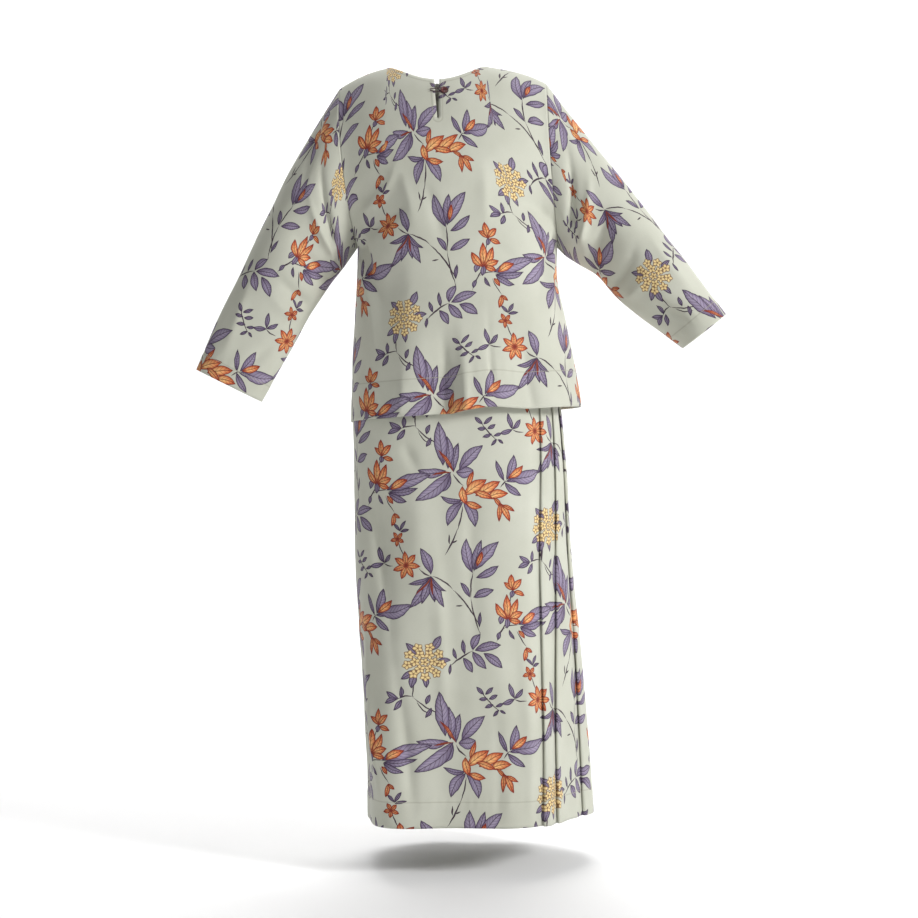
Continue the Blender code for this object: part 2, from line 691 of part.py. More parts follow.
def main():
    for thing in list(bpy.data.objects):
        bpy.data.objects.remove(thing, do_unlink=True)
    collection = bpy.data.collections.new(COLLECTION)
    bpy.context.scene.collection.children.link(collection)

    front = tunic_sheet(180.0, FRONT_NECK_DROP)
    back = tunic_sheet(0.0, BACK_NECK_DROP)
    narrow_slit(front)
    slit = {(row, SHEET_COLUMNS // 2 - 1) for row in range(ROWS_BELOW_ARMPIT + SLIT_ROW, len(front) - 1)}
    cloth("tunic_front", front, "printed_cloth", collection, left_out=slit)
    cloth("tunic_back", back, "printed_cloth", collection)

    for name, column, rings, dents in (
        ("sleeve_right", 0, RIGHT_SLEEVE, RIGHT_DENTS),
        ("sleeve_left", SHEET_COLUMNS - 1, LEFT_SLEEVE, LEFT_DENTS),
    ):
        loft = sleeve_rings(rings, dents, *armhole(front, back, column))
        if column > 0:
            loft = [list(reversed(ring)) for ring in loft]
        cloth(name, loft, "printed_cloth", collection, closed=True)

    button(front, collection)
    button_loop(front, collection)

    cloth("skirt_front", skirt_rows(skirt_front_row), "printed_cloth", collection)
    cloth("skirt_back", skirt_rows(skirt_back_row), "printed_cloth", collection)
    cloth("waistband", waistband_rings(), "waistband_cloth", collection, closed=True, wall=BAND_WALL)


main()
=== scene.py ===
"""Scene for the girl's two-piece baju kurung: printed cloth with folds and sewing, a studio and a camera.

Metres, +Z up, the front faces -Y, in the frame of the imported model. The sections and large folds repeat
those of the part, read more finely, and each piece of cloth lies on the form of its solid.
"""

import bisect
import math
from collections import namedtuple

import bmesh
import bpy
import numpy as np
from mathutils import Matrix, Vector, noise


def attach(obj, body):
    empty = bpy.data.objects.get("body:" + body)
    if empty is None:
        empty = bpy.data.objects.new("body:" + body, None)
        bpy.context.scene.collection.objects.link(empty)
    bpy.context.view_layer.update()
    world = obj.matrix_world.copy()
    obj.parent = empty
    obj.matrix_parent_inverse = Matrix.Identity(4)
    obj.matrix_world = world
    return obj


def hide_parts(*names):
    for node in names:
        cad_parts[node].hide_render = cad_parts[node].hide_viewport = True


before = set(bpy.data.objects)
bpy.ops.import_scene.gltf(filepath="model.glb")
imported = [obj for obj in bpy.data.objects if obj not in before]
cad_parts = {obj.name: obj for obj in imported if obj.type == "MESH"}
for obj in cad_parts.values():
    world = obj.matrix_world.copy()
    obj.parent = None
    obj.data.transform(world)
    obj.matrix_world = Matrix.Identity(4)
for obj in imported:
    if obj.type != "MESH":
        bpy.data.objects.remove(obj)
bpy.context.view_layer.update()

# Cloth
SOLID_WALL = 0.0012
SEAM = 0.0003
DRAPE_GAP = 0.0011
CLOTH_WALL = 0.0008
HEM_LAYER = 0.0006

# Neck, slit and shoulders
NECK_HALF_WIDTH = 0.065
FRONT_NECK_DROP = 0.115
BACK_NECK_DROP = 0.062
SLIT_HALF_WIDTH = 0.003
SLIT_FOOT_HALF_WIDTH = 0.0010
SLIT_FOOT_SHARE = 0.74
SLIT_NARROWING = 0.05
CREST = 0.008
RIGHT_CREST_FALL = 15.0
LEFT_CREST_FALL = 8.3
RIGHT_TIP = -0.126
LEFT_TIP = 0.140
ARCH_POWER = 2.4
NECK_ROW_SPREAD = 0.35

# Armholes
ARMPIT_DROP = 0.227
ARMHOLE_HALF_DEPTH = 0.054
EDGE_POWER = 3.2
EDGE_POWER_FROM = 0.45
RIM_POWER = 0.5
RIM_FADE = 3.0

# Tunic hem
HEM_DROP = 0.445
HEM_TILT = 0.065
HEM_LIFT = 0.005
HEM_LIFT_AT = 0.066
HEM_LIFT_REACH = 0.055

# Skirt, waistband and pleats
WAIST_DROP = 0.262
SKIRT_HEM_DROP = 0.955
COVERED_DROP = 0.47
BAND_HEIGHT = 0.028
BAND_PROUD = 0.0006
BAND_WALL = 0.0022
UNDERLAP = 0.014
PLEAT_APPROACH = 0.022
FACE_SHOWING = 0.006
PLEAT_LOOP = (0.0020, 0.0038)
PLEAT_TUCK = (0.0010, 0.0016)
EDGE_STEPS = 10

# Sleeves
SLEEVE_BLEND = 0.34

# Button and loop
BUTTON_RADIUS = 0.0042
BUTTON_THICKNESS = 0.0022
BUTTON_OFFSET = 0.0088
BUTTON_NECK_SHARE = 0.93
LOOP_CORD = 0.0006
LOOP_REACH = 0.0176
LOOP_HALF_TURN = 140.0
LOOP_POINTS = 28

# Coarse columns of the part's sheets, and the steps that they are read in here
SHEET_COLUMNS = 24
SHOULDER_COLUMNS = 5
FINE_STEPS = 6
SLIT_STEPS = 4
LOWER_ROWS = 62
UPPER_ROWS = 74
SKIRT_ROWS = 190
FRONT_PANEL_COLUMNS = 104
APPROACH_COLUMNS = 9
LAP_COLUMNS = 5
FACE_COLUMNS = (1, 10, 8)
BACK_PANEL_COLUMNS = 150
BAND_COLUMNS = 240
BAND_ROWS = 14
SLEEVE_RINGS = 120

Spine = namedtuple("Spine", "drop x")
SPINE = (
    Spine(0.225, 0.026),
    Spine(0.420, 0.030),
    Spine(0.500, 0.031),
    Spine(0.620, 0.034),
    Spine(0.750, 0.044),
    Spine(0.880, 0.053),
    Spine(0.955, 0.0565),
)

# A section's reach: to the wearer's right and left as places, to the front and back as depths
Level = namedtuple("Level", "drop right left front back")
TUNIC_LEVELS = (
    Level(0.227, -0.103, 0.155, 0.095, 0.090),
    Level(0.270, -0.104, 0.155, 0.098, 0.093),
    Level(0.321, -0.106, 0.166, 0.105, 0.101),
    Level(0.373, -0.109, 0.176, 0.112, 0.109),
    Level(0.424, -0.1095, 0.184, 0.117, 0.116),
    Level(0.460, -0.1090, 0.188, 0.119, 0.119),
)
SKIRT_LEVELS = (
    Level(0.262, -0.074, 0.126, 0.080, 0.078),
    Level(0.340, -0.095, 0.146, 0.094, 0.094),
    Level(0.420, -0.1078, 0.158, 0.104, 0.106),
    Level(0.502, -0.1070, 0.166, 0.108, 0.112),
    Level(0.619, -0.1060, 0.173, 0.112, 0.115),
    Level(0.748, -0.098, 0.186, 0.116, 0.118),
    Level(0.877, -0.091, 0.197, 0.120, 0.122),
    Level(0.955, -0.089, 0.202, 0.122, 0.125),
)
TUNIC_SQUARENESS = (2.5, 2.4)
SKIRT_SQUARENESS = (3.0, 2.35)
SQUARENESS_BLEND = 0.7

# Large soft folds: angle round the section in degrees (180 right, 270 front, 360 left, 90 back), reach to
# each side, height, the drops where it starts, is full and ends, and what is left there
Fold = namedtuple("Fold", "angle reach height start full end share")
TUNIC_FOLDS = (
    Fold(222, 17, -0.0060, 0.235, 0.290, 0.400, 0.2),
    Fold(240, 12, 0.0030, 0.300, 0.420, 0.460, 1.0),
    Fold(257, 13, -0.0050, 0.300, 0.430, 0.460, 1.0),
    Fold(281, 19, 0.0080, 0.290, 0.440, 0.460, 1.0),
    Fold(307, 12, -0.0035, 0.320, 0.400, 0.460, 0.7),
    Fold(328, 13, 0.0045, 0.340, 0.440, 0.460, 1.0),
    Fold(48, 15, 0.0050, 0.300, 0.440, 0.460, 1.0),
    Fold(72, 14, -0.0060, 0.270, 0.430, 0.460, 1.0),
    Fold(98, 17, 0.0070, 0.310, 0.440, 0.460, 1.0),
    Fold(126, 13, -0.0050, 0.260, 0.360, 0.460, 0.8),
)
SKIRT_FOLDS = (
    Fold(226, 20, -0.0070, 0.480, 0.590, 0.740, 0.0),
    Fold(225, 25, 0.0190, 0.600, 0.920, 0.955, 1.0),
    Fold(256, 16, -0.0035, 0.440, 0.620, 0.955, 0.4),
    Fold(285, 14, 0.0025, 0.600, 0.800, 0.955, 1.0),
    Fold(332, 28, -0.0180, 0.560, 0.940, 0.955, 1.0),
    Fold(38, 14, -0.0050, 0.420, 0.700, 0.955, 1.0),
    Fold(62, 15, 0.0060, 0.460, 0.800, 0.955, 1.0),
    Fold(88, 15, -0.0055, 0.440, 0.640, 0.955, 0.6),
    Fold(115, 18, 0.0065, 0.500, 0.860, 0.955, 1.0),
    Fold(148, 14, -0.0050, 0.380, 0.600, 0.955, 0.7),
)

# Angles of the three pleats' fold edges, in degrees before the wearer's left side seam
Pleats = namedtuple("Pleats", "drop first second third")
PLEATS = (
    Pleats(0.262, 34.0, 22.0, 9.0),
    Pleats(0.450, 37.0, 25.0, 10.5),
    Pleats(0.630, 42.5, 30.0, 12.0),
    Pleats(0.955, 54.5, 42.5, 14.0),
)

# Sleeve sections: share of the length, the upper edge's place, the lower edge's place, and how deep and
# how far forward the section is
Ring = namedtuple("Ring", "share upper_x upper_z lower_x lower_z half_depth forward")
RIGHT_SLEEVE = (
    Ring(0.00, -0.126, -0.023, -0.103, -0.227, 0.054, 0.000),
    Ring(0.10, -0.151, -0.062, -0.112, -0.240, 0.055, 0.001),
    Ring(0.22, -0.182, -0.113, -0.122, -0.255, 0.053, 0.004),
    Ring(0.36, -0.212, -0.174, -0.137, -0.276, 0.048, 0.009),
    Ring(0.52, -0.237, -0.228, -0.156, -0.307, 0.042, 0.015),
    Ring(0.68, -0.260, -0.278, -0.177, -0.343, 0.036, 0.021),
    Ring(0.84, -0.284, -0.329, -0.200, -0.383, 0.030, 0.027),
    Ring(1.00, -0.307, -0.386, -0.224, -0.427, 0.023, 0.033),
)
LEFT_SLEEVE = (
    Ring(0.00, 0.140, -0.017, 0.155, -0.227, 0.054, 0.000),
    Ring(0.10, 0.168, -0.053, 0.166, -0.238, 0.055, 0.002),
    Ring(0.22, 0.201, -0.095, 0.183, -0.250, 0.053, 0.007),
    Ring(0.36, 0.238, -0.140, 0.206, -0.266, 0.049, 0.015),
    Ring(0.52, 0.273, -0.188, 0.229, -0.294, 0.044, 0.025),
    Ring(0.68, 0.303, -0.230, 0.258, -0.320, 0.039, 0.036),
    Ring(0.84, 0.333, -0.273, 0.286, -0.342, 0.035, 0.047),
    Ring(1.00, 0.365, -0.317, 0.311, -0.360, 0.031, 0.058),
)

# Sleeve folds: share of the length, angle round it in degrees (0 below, 90 front, 180 above, 270 back),
# how far each reaches in share and angle, and its height
Dent = namedtuple("Dent", "share angle share_reach angle_reach height")
RIGHT_DENTS = (
    Dent(0.30, 70, 0.16, 50, -0.0060),
    Dent(0.47, 110, 0.12, 46, 0.0030),
    Dent(0.58, 40, 0.11, 48, -0.0050),
    Dent(0.80, 95, 0.20, 38, -0.0035),
    Dent(0.42, 285, 0.15, 52, -0.0055),
    Dent(0.74, 260, 0.16, 44, -0.0040),
)
LEFT_DENTS = (
    Dent(0.28, 60, 0.17, 46, -0.0065),
    Dent(0.52, 48, 0.16, 40, -0.0050),
    Dent(0.66, 100, 0.18, 40, 0.0025),
    Dent(0.84, 40, 0.13, 42, -0.0040),
    Dent(0.36, 280, 0.15, 50, -0.0055),
    Dent(0.68, 300, 0.16, 42, -0.0045),
)

# Creases placed in cloth coordinates, across from the middle and up from the hem or cuff: both
# ends, how far the line bows to its left, its reach to each side, its height, and where it is strongest
Crease = namedtuple("Crease", "u0 v0 u1 v1 bow reach height peak")
TUNIC_FRONT_CREASES = (
    Crease(-0.150, 0.235, -0.090, 0.110, 0.006, 0.011, -0.0036, 0.1),
    Crease(-0.142, 0.190, -0.118, 0.080, 0.004, 0.008, -0.0020, 0.3),
    Crease(-0.145, 0.215, -0.110, 0.060, 0.004, 0.008, 0.0022, 0.3),
    Crease(-0.135, 0.240, -0.040, 0.290, -0.010, 0.010, -0.0024, 0.1),
    Crease(-0.140, 0.260, -0.060, 0.345, -0.012, 0.011, 0.0020, 0.2),
    Crease(0.160, 0.235, 0.095, 0.110, -0.007, 0.010, -0.0024, 0.1),
    Crease(0.155, 0.250, 0.060, 0.300, 0.010, 0.010, -0.0022, 0.1),
    Crease(0.150, 0.220, 0.120, 0.070, -0.005, 0.009, 0.0020, 0.3),
    Crease(-0.012, -0.010, -0.020, 0.120, 0.003, 0.007, -0.0030, 0.1),
    Crease(0.008, -0.010, -0.002, 0.135, -0.002, 0.008, 0.0026, 0.1),
    Crease(0.046, -0.005, 0.036, 0.150, 0.003, 0.004, -0.0012, 0.2),
    Crease(-0.080, -0.005, -0.072, 0.090, -0.003, 0.008, 0.0014, 0.1),
    Crease(0.098, -0.005, 0.082, 0.120, 0.004, 0.008, -0.0014, 0.1),
    Crease(-0.030, 0.300, -0.018, 0.190, 0.004, 0.011, -0.0014, 0.4),
    Crease(0.060, 0.320, 0.040, 0.200, -0.005, 0.012, 0.0014, 0.4),
    Crease(-0.070, 0.330, -0.050, 0.220, 0.004, 0.012, 0.0012, 0.5),
    Crease(0.020, 0.210, 0.100, 0.170, 0.006, 0.009, -0.0010, 0.5),
)
TUNIC_BACK_CREASES = (
    Crease(-0.150, 0.235, -0.075, 0.115, 0.006, 0.010, -0.0028, 0.1),
    Crease(0.150, 0.240, 0.085, 0.100, -0.007, 0.010, -0.0026, 0.1),
    Crease(0.140, 0.260, 0.050, 0.330, 0.012, 0.011, -0.0020, 0.1),
    Crease(-0.140, 0.255, -0.045, 0.310, -0.012, 0.010, 0.0020, 0.2),
    Crease(0.030, -0.010, 0.018, 0.150, 0.004, 0.009, 0.0026, 0.1),
    Crease(-0.015, -0.010, -0.010, 0.130, -0.003, 0.008, -0.0022, 0.1),
    Crease(-0.090, -0.005, -0.070, 0.110, -0.004, 0.009, 0.0016, 0.1),
    Crease(0.100, -0.005, 0.090, 0.140, 0.004, 0.008, 0.0014, 0.2),
    Crease(0.000, 0.330, 0.004, 0.190, 0.004, 0.013, -0.0016, 0.4),
    Crease(-0.060, 0.170, 0.060, 0.185, 0.010, 0.010, -0.0012, 0.5),
)
SKIRT_FRONT_CREASES = (
    Crease(-0.150, 0.430, -0.110, 0.180, 0.008, 0.010, -0.0028, 0.3),
    Crease(-0.165, 0.300, -0.120, -0.010, -0.006, 0.009, 0.0030, 0.6),
    Crease(-0.120, 0.260, -0.085, -0.010, 0.004, 0.010, -0.0022, 0.7),
    Crease(-0.060, 0.400, -0.050, 0.060, 0.005, 0.013, 0.0016, 0.5),
    Crease(-0.010, 0.470, -0.004, 0.150, -0.004, 0.015, -0.0014, 0.4),
    Crease(0.040, 0.380, 0.060, -0.010, 0.004, 0.014, 0.0015, 0.7),
    Crease(-0.100, 0.490, -0.060, 0.420, -0.006, 0.009, -0.0014, 0.3),
    Crease(0.010, 0.220, 0.020, -0.010, 0.003, 0.010, -0.0012, 0.8),
)
SKIRT_BACK_CREASES = (
    Crease(-0.110, 0.500, -0.125, -0.010, 0.006, 0.012, -0.0024, 0.6),
    Crease(-0.050, 0.440, -0.060, 0.060, -0.005, 0.013, 0.0020, 0.5),
    Crease(0.000, 0.520, 0.004, 0.120, 0.004, 0.014, -0.0018, 0.4),
    Crease(0.060, 0.460, 0.075, -0.010, -0.004, 0.012, 0.0022, 0.7),
    Crease(0.120, 0.480, 0.135, 0.040, 0.006, 0.011, -0.0020, 0.5),
    Crease(-0.080, 0.560, 0.070, 0.545, -0.014, 0.010, -0.0016, 0.5),
    Crease(-0.060, 0.530, 0.050, 0.520, -0.012, 0.009, 0.0012, 0.5),
)
RIGHT_SLEEVE_CREASES = (
    Crease(0.085, 0.225, -0.020, 0.335, 0.010, 0.011, -0.0034, 0.1),
    Crease(0.082, 0.205, -0.030, 0.285, 0.012, 0.010, 0.0026, 0.2),
    Crease(0.078, 0.180, -0.030, 0.225, 0.010, 0.010, -0.0028, 0.2),
    Crease(0.070, 0.140, -0.025, 0.165, 0.010, 0.010, -0.0020, 0.3),
    Crease(0.060, 0.118, -0.015, 0.135, 0.009, 0.009, 0.0016, 0.3),
    Crease(0.045, 0.090, 0.010, 0.010, -0.006, 0.010, -0.0015, 0.5),
    Crease(-0.040, 0.150, -0.020, 0.010, 0.005, 0.010, 0.0014, 0.5),
    Crease(-0.055, 0.370, -0.030, 0.240, 0.006, 0.012, -0.0016, 0.3),
    Crease(-0.130, 0.330, -0.210, 0.220, 0.010, 0.012, -0.0028, 0.7),
    Crease(-0.110, 0.230, -0.220, 0.170, 0.010, 0.011, 0.0022, 0.7),
    Crease(-0.120, 0.130, -0.150, 0.020, 0.006, 0.010, -0.0016, 0.5),
)
LEFT_SLEEVE_CREASES = (
    Crease(-0.088, 0.215, 0.020, 0.320, -0.011, 0.011, -0.0036, 0.1),
    Crease(-0.084, 0.190, 0.035, 0.270, -0.012, 0.010, 0.0028, 0.2),
    Crease(-0.080, 0.165, 0.025, 0.215, -0.010, 0.010, -0.0026, 0.2),
    Crease(-0.070, 0.125, 0.020, 0.150, -0.010, 0.010, -0.0022, 0.3),
    Crease(-0.062, 0.100, 0.005, 0.112, -0.008, 0.009, 0.0016, 0.3),
    Crease(-0.040, 0.080, -0.010, 0.008, 0.006, 0.010, -0.0015, 0.5),
    Crease(0.035, 0.160, 0.020, 0.010, -0.005, 0.011, 0.0014, 0.5),
    Crease(0.050, 0.360, 0.034, 0.230, -0.006, 0.012, -0.0015, 0.3),
    Crease(0.125, 0.320, 0.215, 0.215, -0.010, 0.012, -0.0028, 0.7),
    Crease(0.115, 0.220, 0.220, 0.160, -0.010, 0.011, 0.0022, 0.7),
    Crease(0.125, 0.120, 0.150, 0.020, -0.006, 0.010, -0.0016, 0.5),
)

# The creases of each piece; its swells are seeded by its turn in this list
CREASES = {
    "tunic_front": TUNIC_FRONT_CREASES,
    "tunic_back": TUNIC_BACK_CREASES,
    "sleeve_right": RIGHT_SLEEVE_CREASES,
    "sleeve_left": LEFT_SLEEVE_CREASES,
    "skirt_front": SKIRT_FRONT_CREASES,
    "skirt_back": SKIRT_BACK_CREASES,
}

# What all creases share: their strength, how soon they rise from a bare end, how fast they fall beside
# the line, and how near a seam, a top edge or the tunic's hem they fade
CREASE_STRENGTH = 2.6
CREASE_ONSET = 0.02
CREASE_FALLOFF = 1.6
SIDE_FADE_REACH = 0.018
TOP_FADE_REACH = 0.015
UNDERARM_FADE_REACH = 0.02
COVERED_REACH = 0.03

# Slow unevenness of the cloth: how far apart its swells are, their height, and how far each piece's
# place in the noise is from the last one's
SWELL_SIZE = 0.055
SWELL_HEIGHT = 0.0012
RIPPLE_SIZE = 0.018
RIPPLE_HEIGHT = 0.00022
SWELL_STRIDE = (3.7, 1.3, 2.1)

# Sewing: how far each stitch line is from its edge, the step of the doubled hem and the puckers along it
TUNIC_HEM_DEPTH = 0.046
SKIRT_HEM_DEPTH = 0.032
CUFF_HEM_DEPTH = 0.022
NECK_EDGE_DEPTH = 0.005
HEM_STEP = 0.00035
HEM_STEP_REACH = 0.003
PUCKER_PITCH = 0.011
PUCKER_HEIGHT = 0.00022
PUCKER_REACH = 0.007
PUCKER_DRIFT = 1.7
PUCKER_DRIFT_RATE = 0.61

# A distance that stands for no stitch line or skirt nearby, and a length too small to divide by
FAR_AWAY = 1.0
TINY = 1e-12

# How close the tunic's creases may come to the skirt, and the waistband's gathers
TUNIC_SPARE = 0.0004
GATHERS = 56
GATHER_HEIGHT = 0.0005
GATHER_BULGE = 0.0006
GATHER_DRIFT = 0.8
GATHER_DRIFT_WAVES = 7.0

# Margins of the map that keeps a shell's sides apart
BAKE_MARGIN = 0.004
BAKE_INSIDE_SHARE = 0.24
BAKE_RIM = 0.0025

# Button: its profile from the top's middle to the foot's middle, as shares of its radius and thickness,
# its four holes and their thread
BUTTON_PROFILE = (
    (0.00, 0.60), (0.34, 0.62), (0.58, 0.70), (0.72, 0.88), (0.82, 0.98), (0.90, 1.00), (0.96, 0.94),
    (1.00, 0.78), (1.00, 0.34), (0.94, 0.10), (0.80, 0.00), (0.00, 0.00),
)
TOP_SEGMENTS = 3
PROFILE_STEPS = 5
BUTTON_SIDES = 96
HOLE_COUNT = 4
HOLE_RING = 0.27
HOLE_RADIUS = 0.12
HOLE_DEPTH = 0.45
HOLE_EDGE = (0.7, 1.2)
THREAD_SIDES = 8
STITCH_POINTS = 16
STITCH_RADIUS = 0.00011
STITCH_LIFT = 0.00022
STITCH_DEPTH = 0.0005
STITCH_SQUARENESS = 6
STRAND_SPACING = 0.055

# Cord of the loop
CORD_STEP = 0.00018
CORD_STRANDS = 3
CORD_LAY = 0.0026
CORD_ORBIT = 0.00028

# The print repeats in brick fashion; its unit is about a millimetre, and its origin is a lily's base
PRINT_UNIT = 0.00096
REPEAT_WIDTH = 168.0
REPEAT_RISE = 174.0

# Where a lily's base lies on each piece, in metres of cloth
PRINT_ORIGINS = {
    "tunic_front": (-0.036, 0.025),
    "tunic_back": (0.030, 0.060),
    "sleeve_right": (-0.060, 0.366),
    "sleeve_left": (0.030, 0.330),
    "skirt_front": (-0.035, 0.439),
    "skirt_back": (0.050, 0.360),
    "waistband": (0.0, 0.0),
}

# A leaf or petal: where it starts, its tip, half its width and how far it bows to its left
Leaf = namedtuple("Leaf", "x0 y0 x1 y1 half bend")
# A flower: its centre, how many petals, their length, half their width, and a turn in shares of a petal
Rosette = namedtuple("Rosette", "x y petals reach half turn")
# A group of shapes that repeats together: the middle of its repeat, and what each layer holds
Motif = namedtuple("Motif", "x y stems violet orange")

LILY = Motif(
    38.0, -25.0,
    stems=(
        Leaf(1, -2, 15, -18, 1.0, -1.5),
        Leaf(14, -42, 7, -76, 1.0, 1.5),
        Leaf(8, -72, -9, -108, 1.1, 1.5),
        Leaf(-2, -93, -3, -80, 1.2, 0.5),
        Leaf(-1, -91, 8, -88, 1.1, -0.5),
        Leaf(-26, 35, -44, 54, 0.7, 3.0),
        Leaf(62, -20, 70, -10, 0.8, 0.5),
    ),
    violet=(
        Leaf(4, 0, 27, 3, 7.5, -2.0),
        Leaf(8, 2, 39, 35, 8.0, 2.5),
        Leaf(1, 0, 7, 38, 5.5, 2.0),
        Leaf(-6, 4, -8, 47, 6.5, -2.0),
        Leaf(-12, 8, -19, 66, 8.5, 0.0),
        Leaf(-8, 2, -44, 3, 6.5, 4.0),
        Leaf(-3, 0, -21, -28, 7.5, 2.0),
        Leaf(-2, 1, -46, -37, 9.0, 4.5),
        Leaf(14, -36, -15, -31, 4.0, 4.0),
        Leaf(14, -38, -5, -70, 7.0, -4.5),
        Leaf(14, -38, 31, -71, 7.0, 4.5),
        Leaf(67, -12, 55, 16, 3.6, 0.5),
        Leaf(69, -12, 96, -8, 4.2, 1.0),
        Leaf(67, -13, 90, -31, 4.6, -1.5),
        Leaf(70, -10, 79, 23, 6.0, -2.0),
        Leaf(72, -8, 119, 3, 9.0, -4.0),
    ),
    orange=(
        Leaf(1, 0, -19, 29, 2.4, -1.5),
        Leaf(-2, 0, -26, -4, 1.5, -1.2),
        Leaf(20, -22, 27, 2, 3.6, 1.0),
        Leaf(15, -30, 44, -9, 7.2, 1.0),
        Leaf(30, -31, 62, -12, 6.6, 1.0),
        Leaf(44, -33, 72, -27, 6.2, 2.0),
        Leaf(27, -25, 52, -34, 4.6, 1.0),
        Leaf(13, -18, 19, -42, 5.4, -2.0),
        Leaf(17, -38, 39, -45, 4.6, -1.5),
        Leaf(52, -32, 65, -46, 2.8, 0.8),
        Leaf(62, -38, 61, -64, 3.4, 0.0),
        Leaf(63, -40, 75, -64, 4.2, 0.5),
        Leaf(64, -42, 81, -50, 3.0, 0.5),
        Leaf(72, -8, 92, 9, 5.0, -1.5),
    ),
)
STAR = Motif(
    -50.0, -140.0,
    stems=(
        Leaf(-40, -124, -25, -134, 0.9, -2.0),
        Leaf(-25, -134, 2, -152, 1.0, 2.5),
        Leaf(0, -150, 35, -200, 1.1, 3.0),
        Leaf(13, -172, 4, -173, 1.0, 0.0),
        Leaf(-75, -121, -92, -118, 0.8, 1.5),
        Leaf(-60, -108, -68, -90, 0.8, 1.0),
    ),
    violet=(
        Leaf(-91, -118, -98, -97, 3.4, 0.5),
        Leaf(-91, -118, -80, -105, 3.2, -0.8),
        Leaf(-91, -118, -108, -124, 3.4, 0.8),
        Leaf(-26, -132, -38, -98, 6.4, -2.5),
        Leaf(-26, -134, -54, -144, 3.6, 3.0),
        Leaf(-26, -134, -53, -176, 6.0, 3.0),
        Leaf(-26, -134, -38, -170, 5.0, 1.0),
        Leaf(-26, -134, -22, -168, 4.4, 0.0),
        Leaf(-26, -134, -11, -174, 5.6, -1.0),
        Leaf(-26, -133, -7, -154, 3.2, -4.0),
        Leaf(-66, -76, -58, -62, 2.6, 0.6),
        Leaf(-66, -76, -76, -66, 2.4, -0.6),
        Leaf(-66, -77, -52, -74, 2.2, 0.4),
    ),
    orange=(
        Leaf(-26, -136, -45, -158, 1.3, 1.6),
        Leaf(-26, -136, -24, -158, 1.5, 0.0),
        Rosette(-57, -120, 7, 19.0, 4.3, 0.1),
        Rosette(-70, -86, 5, 10.5, 2.9, 0.3),
    ),
)
SPRAY = Motif(
    62.0, -170.0,
    stems=(
        Leaf(28, -128, 24, -163, 1.0, -1.0),
        Leaf(24, -161, 35, -210, 1.0, -1.5),
        Leaf(35, -205, 24, -231, 1.0, 1.0),
        Leaf(25, -230, -5, -250, 1.1, -1.5),
        Leaf(55, -219, 73, -190, 0.9, 2.0),
        Leaf(64, -202, 86, -197, 0.7, 2.0),
        Leaf(82, -204, 95, -226, 0.7, -1.5),
        Leaf(80, -148, 74, -170, 0.7, -1.0),
    ),
    violet=(
        Leaf(27, -130, 19, -85, 7.4, 3.0),
        Leaf(29, -128, 39, -87, 6.0, 1.0),
        Leaf(31, -126, 61, -89, 8.0, 2.5),
        Leaf(31, -136, 61, -120, 5.2, -2.0),
        Leaf(23, -161, 11, -142, 3.8, -1.0),
        Leaf(27, -161, 54, -151, 5.6, 0.5),
        Leaf(34, -200, 36, -180, 2.6, 0.5),
        Leaf(24, -229, 35, -208, 5.6, 2.5),
        Leaf(27, -230, 61, -222, 6.2, 2.0),
        Leaf(38, -233, 62, -252, 6.0, 1.5),
        Leaf(24, -231, 42, -253, 5.8, -1.0),
        Leaf(12, -239, 24, -258, 5.0, 1.0),
        Leaf(14, -235, 12, -215, 2.8, 0.4),
        Leaf(4, -241, -1, -226, 2.6, 0.4),
        Leaf(-4, -247, -6, -261, 2.2, -0.4),
        Leaf(66, -183, 60, -196, 4.0, -1.0),
        Leaf(70, -186, 69, -202, 3.8, 1.0),
        Leaf(78, -152, 77, -162, 3.4, 0.0),
        Leaf(57, -216, 61, -205, 3.0, 0.8),
        Leaf(72, -203, 79, -216, 2.4, -0.8),
        Leaf(86, -199, 126, -194, 4.8, -3.0),
        Leaf(86, -200, 112, -212, 4.8, -2.0),
        Leaf(84, -197, 141, -177, 9.0, 2.0),
    ),
    orange=(
        Leaf(33, -122, 40, -102, 3.4, 0.0),
        Leaf(78, -153, 67, -142, 3.6, -1.0),
        Leaf(78, -153, 77, -131, 4.4, 0.6),
        Leaf(78, -153, 91, -138, 4.4, 1.0),
        Leaf(79, -154, 94, -159, 3.6, 0.6),
        Leaf(70, -190, 55, -168, 4.6, 1.6),
        Leaf(71, -190, 70, -157, 5.2, 0.0),
        Leaf(72, -190, 84, -163, 5.0, -1.0),
        Leaf(72, -190, 91, -181, 5.0, 1.0),
        Leaf(72, -190, 88, -194, 4.0, 0.0),
        Leaf(89, -196, 112, -183, 5.4, 1.5),
        Leaf(94, -226, 90, -244, 3.6, 0.6),
        Leaf(94, -226, 102, -233, 2.6, -0.6),
        Leaf(84, -204, 92, -215, 3.0, 0.6),
    ),
)
